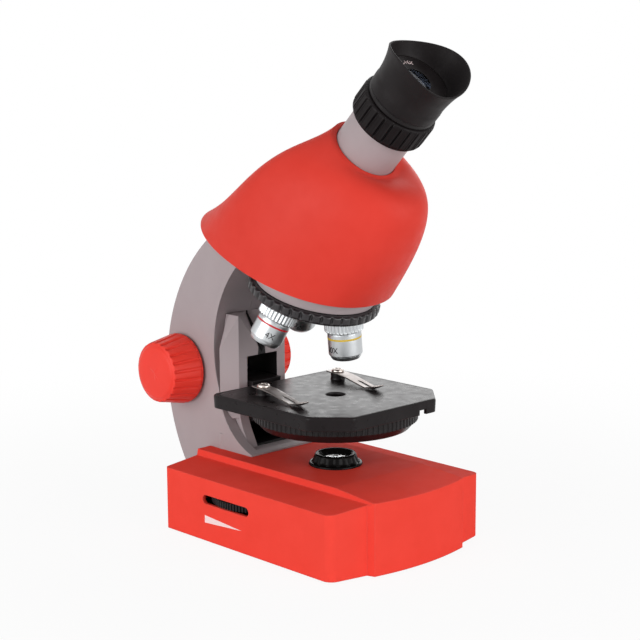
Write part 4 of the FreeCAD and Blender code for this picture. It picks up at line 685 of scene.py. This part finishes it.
objectiveSpec = {"turn": 22.0, "thread": 7.4, "threadTop": 4.0, "collar": 10.75, "barrel": 9.35,
                 "flutes": 30, "fluteDeep": 0.75, "lens": 3.65, "ringLift": 1.2, "ringHalf": 0.5,
                 "ringProud": 0.07, "figure": 4.6, "ink": 0.3, "figureLift": 6.2}
# per objective: station, length, enamel, figures, degrees from the camera's side to the figures
stations = {"10x": (0, 22.0, "enamelYellow", "10X", -52),
            "40x": (1, 25.0, "enamelBlue", "40X", -10), "4x": (2, 21.0, "enamelRed", "4X", 6)}


# Coarse rounded flutes on the collar only: rise = fluteDeep (sqrt(wave) - 1) for h -5.6 to -1,
# where the wave swings between 0 and 1.
def collarRise(height, turn):
    wave = 0.5 + 0.5 * np.cos(objectiveSpec["flutes"] * turn)
    return band(height, -5.6, -1.0, 0.3) * objectiveSpec["fluteDeep"] * (np.sqrt(wave) - 1)


# Seat on the turret's cone at a station: turned about the turret's axis, then tipped upright.
def objectivePlace(station):
    turn = math.radians(objectiveSpec["turn"] + 120 * station)
    inPlane = Matrix.Rotation(turretTilt, 4, "X") @ Matrix.Rotation(turn, 4, "Z")
    outward = Matrix.Translation((0, -turretPitch, -seatDrop))
    table = np.array(inPlane @ outward @ Matrix.Rotation(-turretTilt, 4, "X"))
    return turretOrigin + table[:3, 3], table[:3, 0], table[:3, 1], table[:3, 2]


def objectiveGrid(place, length):
    spec = objectiveSpec
    thread, top, collar, barrel, lens = pick(spec, "thread threadTop collar barrel lens")
    corners = [(0.0, top, 0.0), (thread, top, 0.2), (thread, -0.1, 0.1), (collar - 0.9, -0.12, 0.2),
               (collar, -0.8, 0.3), (collar, -5.8, 0.3), (barrel + 0.1, -6.5, 0.2),
               (barrel - 0.25, -6.75, 0.1), (barrel - 0.25, -7.1, 0.1), (barrel, -7.3, 0.1),
               (barrel, -length + 2.6, 0.5), (barrel - 0.55, -length + 2.3, 0.15),
               (barrel - 0.9, -length + 1.2, 0.2), (barrel - 1.7, -length, 0.3),
               (lens + 0.9, -length, 0.3), (lens, -length + 0.8, 0.2), (lens, -length + 3.0, 0.1),
               (0.0, -length + 3.1, 0.0)]
    outline = eased(corners, 3)
    wall = np.stack([np.full(6, collar), np.linspace(-1.1, -5.5, 6)], -1)
    outline = np.insert(outline, np.argmax(outline[:, 1] < -1.3), wall, axis=0)
    return lathe(outline, place, spec["flutes"] * 10, collarRise)


# Enamel ring: its outside stands ringProud over the barrel.
def ringGrid(place, level):
    spec = objectiveSpec
    inner, outer = spec["barrel"] - 0.2, spec["barrel"] + spec["ringProud"]
    low, high = level - spec["ringHalf"], level + spec["ringHalf"]
    return lathe(eased([(inner, low, 0.05), (outer, low, 0.05), (outer, high, 0.05),
                        (inner, high, 0.05)]), place, 96)


# Wraps flat text round a barrel: x becomes an angle x / r about the axis and y runs along it.
def onBarrel(place, middle, level):
    radius = objectiveSpec["barrel"]
    return lambda x, y, z: polar(place, radius + z, middle + x / radius, level + y)


cameraSide = np.array([-0.68, -0.73, 0.0])
for name, (station, length, enamel, words, aside) in stations.items():
    spec = objectiveSpec
    place = objectivePlace(station)
    makePiece("objective" + name, [objectiveGrid(place, length)], "turret", "aluminium",
              ("objective_" + name,), loop=False)
    makePiece("band" + name, [ringGrid(place, spec["ringLift"] - length / 2)], "turret", enamel)
    facing = math.atan2(float(cameraSide @ place[2]), float(cameraSide @ place[1]))
    printText("figure" + name, words, spec["figure"], spec["ink"],
              onBarrel(place, facing + math.radians(aside), spec["figureLift"] - length),
              "turret", "inkBlack")
print("turret made")


# ---- stage with its eased edge, skirt, light hole and clip posts

stageSpec = {"half": 47.8, "back": 37.5, "front": 57.3, "cheek": 40.2, "nose": 31.3, "top": 81.1,
             "skirt": 7.5, "plate": 2.5, "wall": 2.2, "hole": 5.3, "edge": 1.6, "flat": 2.6,
             "notchSide": 18.7, "notchWide": 5.3, "notchHigh": 2.8}


# Plan outline, walked evenly: rounded corners joined by straight runs. Two pairs of points on the
# front edge are moved to the notch's ends, so that its sides stand upright.
def stageOutline(count):
    spec = stageSpec
    side = [(spec["half"], spec["back"], 5.5), (spec["half"], -spec["cheek"], 1.6),
            (spec["nose"], -spec["front"], 1.6)]
    corners = side + [(-x, y, ease) for x, y, ease in reversed(side)]
    line = eased(corners, 8)
    run = np.linalg.norm(np.roll(line, -1, 0) - line, axis=1)
    walked = np.concatenate([[0], np.cumsum(run)])
    even = np.linspace(0, walked[-1], count, endpoint=False)
    closed = np.concatenate([line, line[:1]])
    walk = np.stack([np.interp(even, walked, closed[:, k]) for k in (0, 1)], -1)
    ends = np.add.outer((spec["notchSide"], spec["notchSide"] + spec["notchWide"]), (-0.01, 0.01))
    front = np.flatnonzero(walk[:, 1] < 0.01 - spec["front"])
    for pair in ends:
        near = front[np.argsort(np.abs(walk[front, 0] - pair.mean()))[:2]]
        walk[near[np.argsort(walk[near, 0])], 0] = pair
    return walk


# Height of the skirt's lower edge: it lies notchHigh over the rest where x is inside the notch.
def notchLift(outline):
    spec = stageSpec
    low, x = spec["top"] - spec["skirt"], outline[:, 0]
    inside = (x > spec["notchSide"]) & (x < spec["notchSide"] + spec["notchWide"])
    return low + spec["notchHigh"] * (inside & (outline[:, 1] < 0.01 - spec["front"]))


def stageGrid():
    spec = stageSpec
    outline = stageOutline(360)
    step = np.roll(outline, -1, 0) - np.roll(outline, 1, 0)
    inward = np.stack([step[:, 1], -step[:, 0]], -1) / np.linalg.norm(step, axis=1, keepdims=True)
    centre = np.array([0, -opticFront])
    toCentre = centre - outline
    inward *= np.sign((inward * toCentre).sum(1, keepdims=True))
    hole = centre - spec["hole"] * toCentre / np.linalg.norm(toCentre, axis=1, keepdims=True)
    top, low = spec["top"], spec["top"] - spec["skirt"]
    under = top - spec["plate"]
    edge = eased([(0.35, low, 0.3), (0.0, top, spec["edge"]), (spec["flat"], top, 0.3)], 6)[3:-3]
    cut = notchLift(outline)

    def wall(draw, height):
        level = np.maximum(height, cut)
        return np.concatenate([outline + inward * draw, level[:, None]], 1)
    rows = [wall(draw, height) for draw, height in edge]

    def across(share, height):
        flat = (outline + inward * spec["flat"]) * (1 - share) + hole * share
        return np.concatenate([flat, np.full((len(outline), 1), height)], 1)
    rows += [across(share, top) for share in (0.05, 0.3, 0.6, 0.9, 0.985)]
    rows += [across(1.0, top - 0.3), across(1.0, under + 0.1), across(0.97, under)]
    rows += [across(share, under) for share in (0.6, 0.2)]
    rows += [wall(draw, height)
             for draw, height in ((spec["wall"] + 0.4, under), (spec["wall"], under - 0.4),
                                  (spec["wall"], low + 0.2), (spec["wall"] - 0.2, low), (0.5, low))]
    return np.stack(rows)


postSpec = {"half": 28.3, "back": 15.3, "radius": 4.0, "bore": 1.45, "low": 80.9, "top": 84.6}
hubSpec = {"x": 5.515, "y": -6.185, "radius": 3.2, "bore": 1.5, "low": 67.6, "top": 78.7}


# Axes of an upright post in the frame.
def upright(x, y, z=0):
    return axesAt((x, y, z), (0, 0, 1), (0, 1, 0))


def postGrid(side):
    radius, bore, low, top = pick(postSpec, "radius bore low top")
    outline = eased([(bore, low, 0.05), (radius + 0.5, low, 0.1), (radius, low + 0.8, 0.5),
                     (radius, top, 0.3), (bore, top, 0.1)])
    return lathe(outline, upright(side * postSpec["half"], postSpec["back"]), 64)


def hubGrid():
    radius, bore, low, top = pick(hubSpec, "radius bore low top")
    outline = eased([(bore, low, 0.1), (radius, low, 0.3), (radius, top, 0.1), (bore, top, 0.1)])
    return lathe(outline, upright(hubSpec["x"], hubSpec["y"]), 48)


makePiece("stageTable", [stageGrid()], "stage", "blackStage", ("stage_plate",))
makePiece("stagePosts", [postGrid(-1), postGrid(1), hubGrid()], "stage", "blackAbs")
print("stage made")


# ---- slide clips: spring strips, bent down to the slide, with a slot, and up again at the tip

clipSpec = {"length": 40.0, "tail": 7.0, "width": 8.0, "tip": 6.5, "thick": 0.7, "rise": 3.6,
            "touch": 0.3, "turn": math.radians(-9.5), "slotLow": 34.0, "slotHigh": 20.0,
            "slot": 0.9}


# Seen from above, points run between the strip's outline and its slot; their height follows the
# bent line, averaged over 2 mm so that the bends are round.
def clipGrid(side):
    spec = clipSpec
    wide, slim = spec["width"] / 2, spec["tip"] / 2
    tip, tail, thick, rise, touch = pick(spec, "length tail thick rise touch")
    outer = eased([(wide, tail, 2.0), (wide, -4, 1.0), (slim, -tip, 1.0), (-slim, -tip, 1.0),
                   (-wide, -4, 1.0), (-wide, tail, 2.0)], 10)
    k = np.array([0, 0.25, 0.5, 0.75])[None, :, None]
    outer = (outer[:, None] * (1 - k) + np.roll(outer, -1, 0)[:, None] * k).reshape(-1, 2)
    middle = -(spec["slotLow"] + spec["slotHigh"]) / 2
    reach = (spec["slotLow"] - spec["slotHigh"]) / 2 - spec["slot"]
    stretch = np.clip(outer[:, 1] - middle, -reach, reach)
    spine = np.stack([0 * stretch, middle + stretch], -1)
    spoke = outer - spine
    slot = spine + spec["slot"] * spoke / np.linalg.norm(spoke, axis=1, keepdims=True)
    bends = np.array([(-tip - 0.1, 2.9), (-tip, touch + 2.6), (5 - tip, touch), (9 - tip, touch),
                      (-9, rise), (tail + 1, rise)])

    def level(y):
        return sum(np.interp(y + shift, *bends.T) for shift in (0, -1, 1)) / 3

    def layer(share, lift):
        flat = outer * (1 - share) + slot * share
        return np.concatenate([flat, (level(flat[:, 1]) + lift)[:, None]], 1)
    shares = (0.02, 0.15, 0.3, 0.45, 0.6, 0.75, 0.9, 0.98)
    rows = [layer(0.0, thick * 0.85)] + [layer(share, thick) for share in shares]
    rows += [layer(1.0, thick * 0.85), layer(1.0, thick * 0.15)]
    rows += [layer(share, 0.0) for share in reversed(shares)] + [layer(0.0, thick * 0.15)]
    x, y, z = np.moveaxis(np.stack(rows), -1, 0)
    c, s = math.cos(spec["turn"]), math.sin(spec["turn"])
    return (np.stack([x * c - y * s, x * s + y * c, z], -1)
            + np.array([side * postSpec["half"], postSpec["back"], stageSpec["top"]]))


screwSpec = {"head": 3.6, "seat": 85.46, "cross": 0.9, "crossRadius": 2.1, "columns": 96}


# Pan head with a cross recess: the top drops by cross where a narrow four-armed wave is 1.
def screwGrid(side):
    spec = screwSpec
    place = upright(side * postSpec["half"], postSpec["back"], spec["seat"])
    dome = [(3.55, 0.5), (3.4, 1.0), (3.05, 1.4), (2.5, 1.65), (2.0, 1.75), (1.6, 1.79), (1.2, 1.8),
            (0.8, 1.8), (0.4, 1.8), (0.0, 1.8)]
    profile = np.concatenate([[(0.0, 0.0)], eased([(spec["head"], 0, 0.2)], 3), dome])
    grid = lathe(profile, place, spec["columns"])
    arms = np.clip(1.6 - np.abs(np.sin(2 * around(spec["columns"]))) * profile[:, :1] * 1.6, 0, 1)
    inside = (profile[:, :1] < spec["crossRadius"]) & (profile[:, 1:] > 1)
    grid[..., 2] -= spec["cross"] * arms * inside
    return grid


for side, name in ((-1, "left"), (1, "right")):
    makePiece("clip" + name.title(), [clipGrid(side)], "clip_" + name, "springSteel",
              ("stage_clip_" + name,))
    makePiece("clipScrew" + name.title(), [screwGrid(side)], "stage", "nickel",
              ("clip_screw_" + name,), loop=False)
print("clips made")


# ---- lamp housing: a polished ring with scalloped flank round a deep bowl

lampSpec = {"deck": 42.2, "flange": 14.8, "foot": 12.9, "top": 10.4, "bore": 7.4, "height": 6.2,
            "scallops": 14, "deep": 0.55}


# Scallops round the flank: rise = -deep (1 - |cos(scallops t / 2)|)
def lampRise(height, turn):
    spec = lampSpec
    wave = np.abs(np.cos(spec["scallops"] * turn / 2))
    return -spec["deep"] * (1 - wave) * band(height, spec["deck"] + 2.0, spec["deck"] + 4.9, 0.5)


def lampGrid():
    spec = lampSpec
    deck, flange, foot, top = pick(spec, "deck flange foot top")
    high, bore = deck + spec["height"], spec["bore"] + 0.02
    flank = np.stack([np.linspace(foot, top + 1.0, 8), np.linspace(deck + 1.8, high - 0.9, 8)], -1)
    brim = eased([(flange, deck, 0.3), (flange - 0.2, deck + 1.2, 0.5),
                  (foot + 0.3, deck + 1.4, 0.3)])
    bowl = [(top + 0.55, high - 0.25), (top, high - 0.02), (top - 0.8, high - 0.1),
            (9.0, high - 0.7), (8.2, high - 1.9), (7.6, high - 3.0), (bore, high - 4.2),
            (bore, deck - 6)]
    profile = np.concatenate([[(9.3, deck - 6), (9.3, deck - 0.02)], brim, flank,
                              eased([(top + 0.5, high, 0.5)])[:1], bowl])
    return lathe(profile, upright(0, -opticFront), spec["scallops"] * 14, lampRise)


makePiece("lampHousing", [lampGrid()], "microscope", "blackGloss", ("lamp_housing",))


# ---- brightness wedge printed on the base's left wall: a thin three-sided plate

wedgeSpec = {"x": -57.5, "thick": 0.06, "corners": ((32.0, 15.5), (32.0, 11.3), (1.6, 13.3))}


def wedgeGrid():
    spec = wedgeSpec
    flat = np.array(spec["corners"])
    centre = flat.mean(0)
    rows = [(0.0, 0.01), (1.0, 0.01), (1.0, -spec["thick"]), (0.0, -spec["thick"])]
    return np.stack([np.insert(centre + (flat - centre) * share, 0, spec["x"] + lift, axis=1)
                     for share, lift in rows])


makePiece("brightnessWedge", [wedgeGrid()], "microscope", "inkWhite", loop=False)
print("lamp and marks made")


# ---- studio: pale floor, soft lamps, camera

studioSpec = {"floor": 6.0, "near": 0.92, "nearest": 0.12, "farthest": 0.5, "air": 0.24,
              "paper": (0.86, 0.90), "aim": (0, 0, 0.12), "camera": (-593.13, -619.64, 276.3),
              "azimuth": -43.74, "pitch": 10.28, "roll": -0.27, "lens": 89.775}
# lamps: name, place and size in metres, power in watts
lampTable = (("keyLeft", (-1.3, 0.05, 0.2), 1.1, 16.5), ("fillFront", (0.2, -1.3, 0.3), 1.0, 13.0),
             ("rimRight", (1.0, 0.7, 0.6), 0.8, 3.0), ("topSoft", (0.0, 0.0, 1.4), 1.0, 1.5))


# 1 for rays that come straight from the camera, or off or through a smooth surface
def sharpRays(tree):
    seen = addNode(tree, "LightPath").outputs
    sharp = addNode(tree, "Math", {"operation": "MAXIMUM"},
                    {0: seen["Is Glossy Ray"], 1: seen["Is Transmission Ray"]})
    return addNode(tree, "Math", {"operation": "MAXIMUM"},
                   {0: seen["Is Camera Ray"], 1: sharp.outputs[0]}).outputs[0]


# Paper that takes shadows near the object and glows plain white in sharp rays away from it.
def studioMaterial():
    spec = studioSpec
    made, tree = newMaterial("paperFloor")
    place = addNode(tree, "TexCoord").outputs["Object"]
    grain = addNode(tree, "TexNoise", {"Scale": 60.0, "Detail": 3.0}, {"Vector": place})
    stops = [(at, (grey, grey, grey, 1.0)) for at, grey in enumerate(spec["paper"])]
    paper = addNode(tree, "BsdfPrincipled", {"Specular IOR Level": 0.0, "Roughness": 1.0},
                    {"Base Color": ramp(tree, grain.outputs["Fac"], *stops)})
    glow = addNode(tree, "Emission", {"Color": (1.0, 1.0, 1.0, 1.0), "Strength": 1.0})
    away = addNode(tree, "VectorMath", {"operation": "LENGTH"}, {0: place})
    far = addNode(tree, "MapRange", {"interpolation_type": "SMOOTHSTEP", "To Max": 1.0,
                                     "From Min": spec["nearest"], "From Max": spec["farthest"],
                                     "To Min": spec["near"]}, {"Value": away.outputs["Value"]})
    share = addNode(tree, "Math", {"operation": "MULTIPLY"},
                    {0: sharpRays(tree), 1: far.outputs[0]})
    putOut(tree, addNode(tree, "MixShader", links={0: share.outputs[0], 1: paper.outputs[0],
                                                   2: glow.outputs[0]}))
    return made


def makeStudio():
    spec = studioSpec
    half = spec["floor"]
    mesh = bpy.data.meshes.new("floor")
    mesh.from_pydata([(-half, -half, 0), (half, -half, 0), (half, half, 0), (-half, half, 0)], [],
                     [(0, 1, 2, 3)])
    mesh.materials.append(studioMaterial())
    floor = bpy.data.objects.new("floor", mesh)
    bpy.context.scene.collection.objects.link(floor)
    world = bpy.data.worlds.new("studio")
    world.use_nodes = True
    tree = world.node_tree
    tree.nodes.clear()
    level = addNode(tree, "MapRange", {"To Min": spec["air"], "To Max": 1.0},
                    {"Value": sharpRays(tree)})
    putOut(tree, addNode(tree, "Background", {"Color": (1.0, 1.0, 1.0, 1.0)},
                         {"Strength": level.outputs[0]}), "OutputWorld")
    bpy.context.scene.world = world
    for name, spot, size, power in lampTable:
        lamp = bpy.data.lights.new(name, "AREA")
        lamp.size = size
        lamp.energy = power
        holder = bpy.data.objects.new(name, lamp)
        bpy.context.scene.collection.objects.link(holder)
        holder.location = spot
        axes = axesAt(spot, np.array(spot) - np.array(spec["aim"]), (0, 0, 1))[1:]
        holder.rotation_euler = Matrix(np.stack(axes, 1).tolist()).to_euler()


# Camera axes: back = (sin a cos p, -cos a cos p, sin p), right = (cos a, sin a, 0) and
# up = back x right, then right and up turned by the roll.
def makeCamera():
    spec = studioSpec
    a, p, r = map(math.radians, pick(spec, "azimuth pitch roll"))
    back = np.array([math.sin(a) * math.cos(p), -math.cos(a) * math.cos(p), math.sin(p)])
    right = np.array([math.cos(a), math.sin(a), 0])
    up = np.cross(back, right)
    turned = np.stack([math.cos(r) * right + math.sin(r) * up,
                       math.cos(r) * up - math.sin(r) * right, back], 1)
    data = bpy.data.cameras.new("camera")
    data.sensor_width = 36
    data.lens = spec["lens"]
    camera = bpy.data.objects.new("camera", data)
    bpy.context.scene.collection.objects.link(camera)
    camera.matrix_world = (Matrix.Translation(np.array(spec["camera"]) * mm)
                           @ Matrix(turned.tolist()).to_4x4())
    bpy.context.scene.camera = camera


makeStudio()
makeCamera()
bpy.context.scene.view_settings.view_transform = "Standard"
print("studio made")
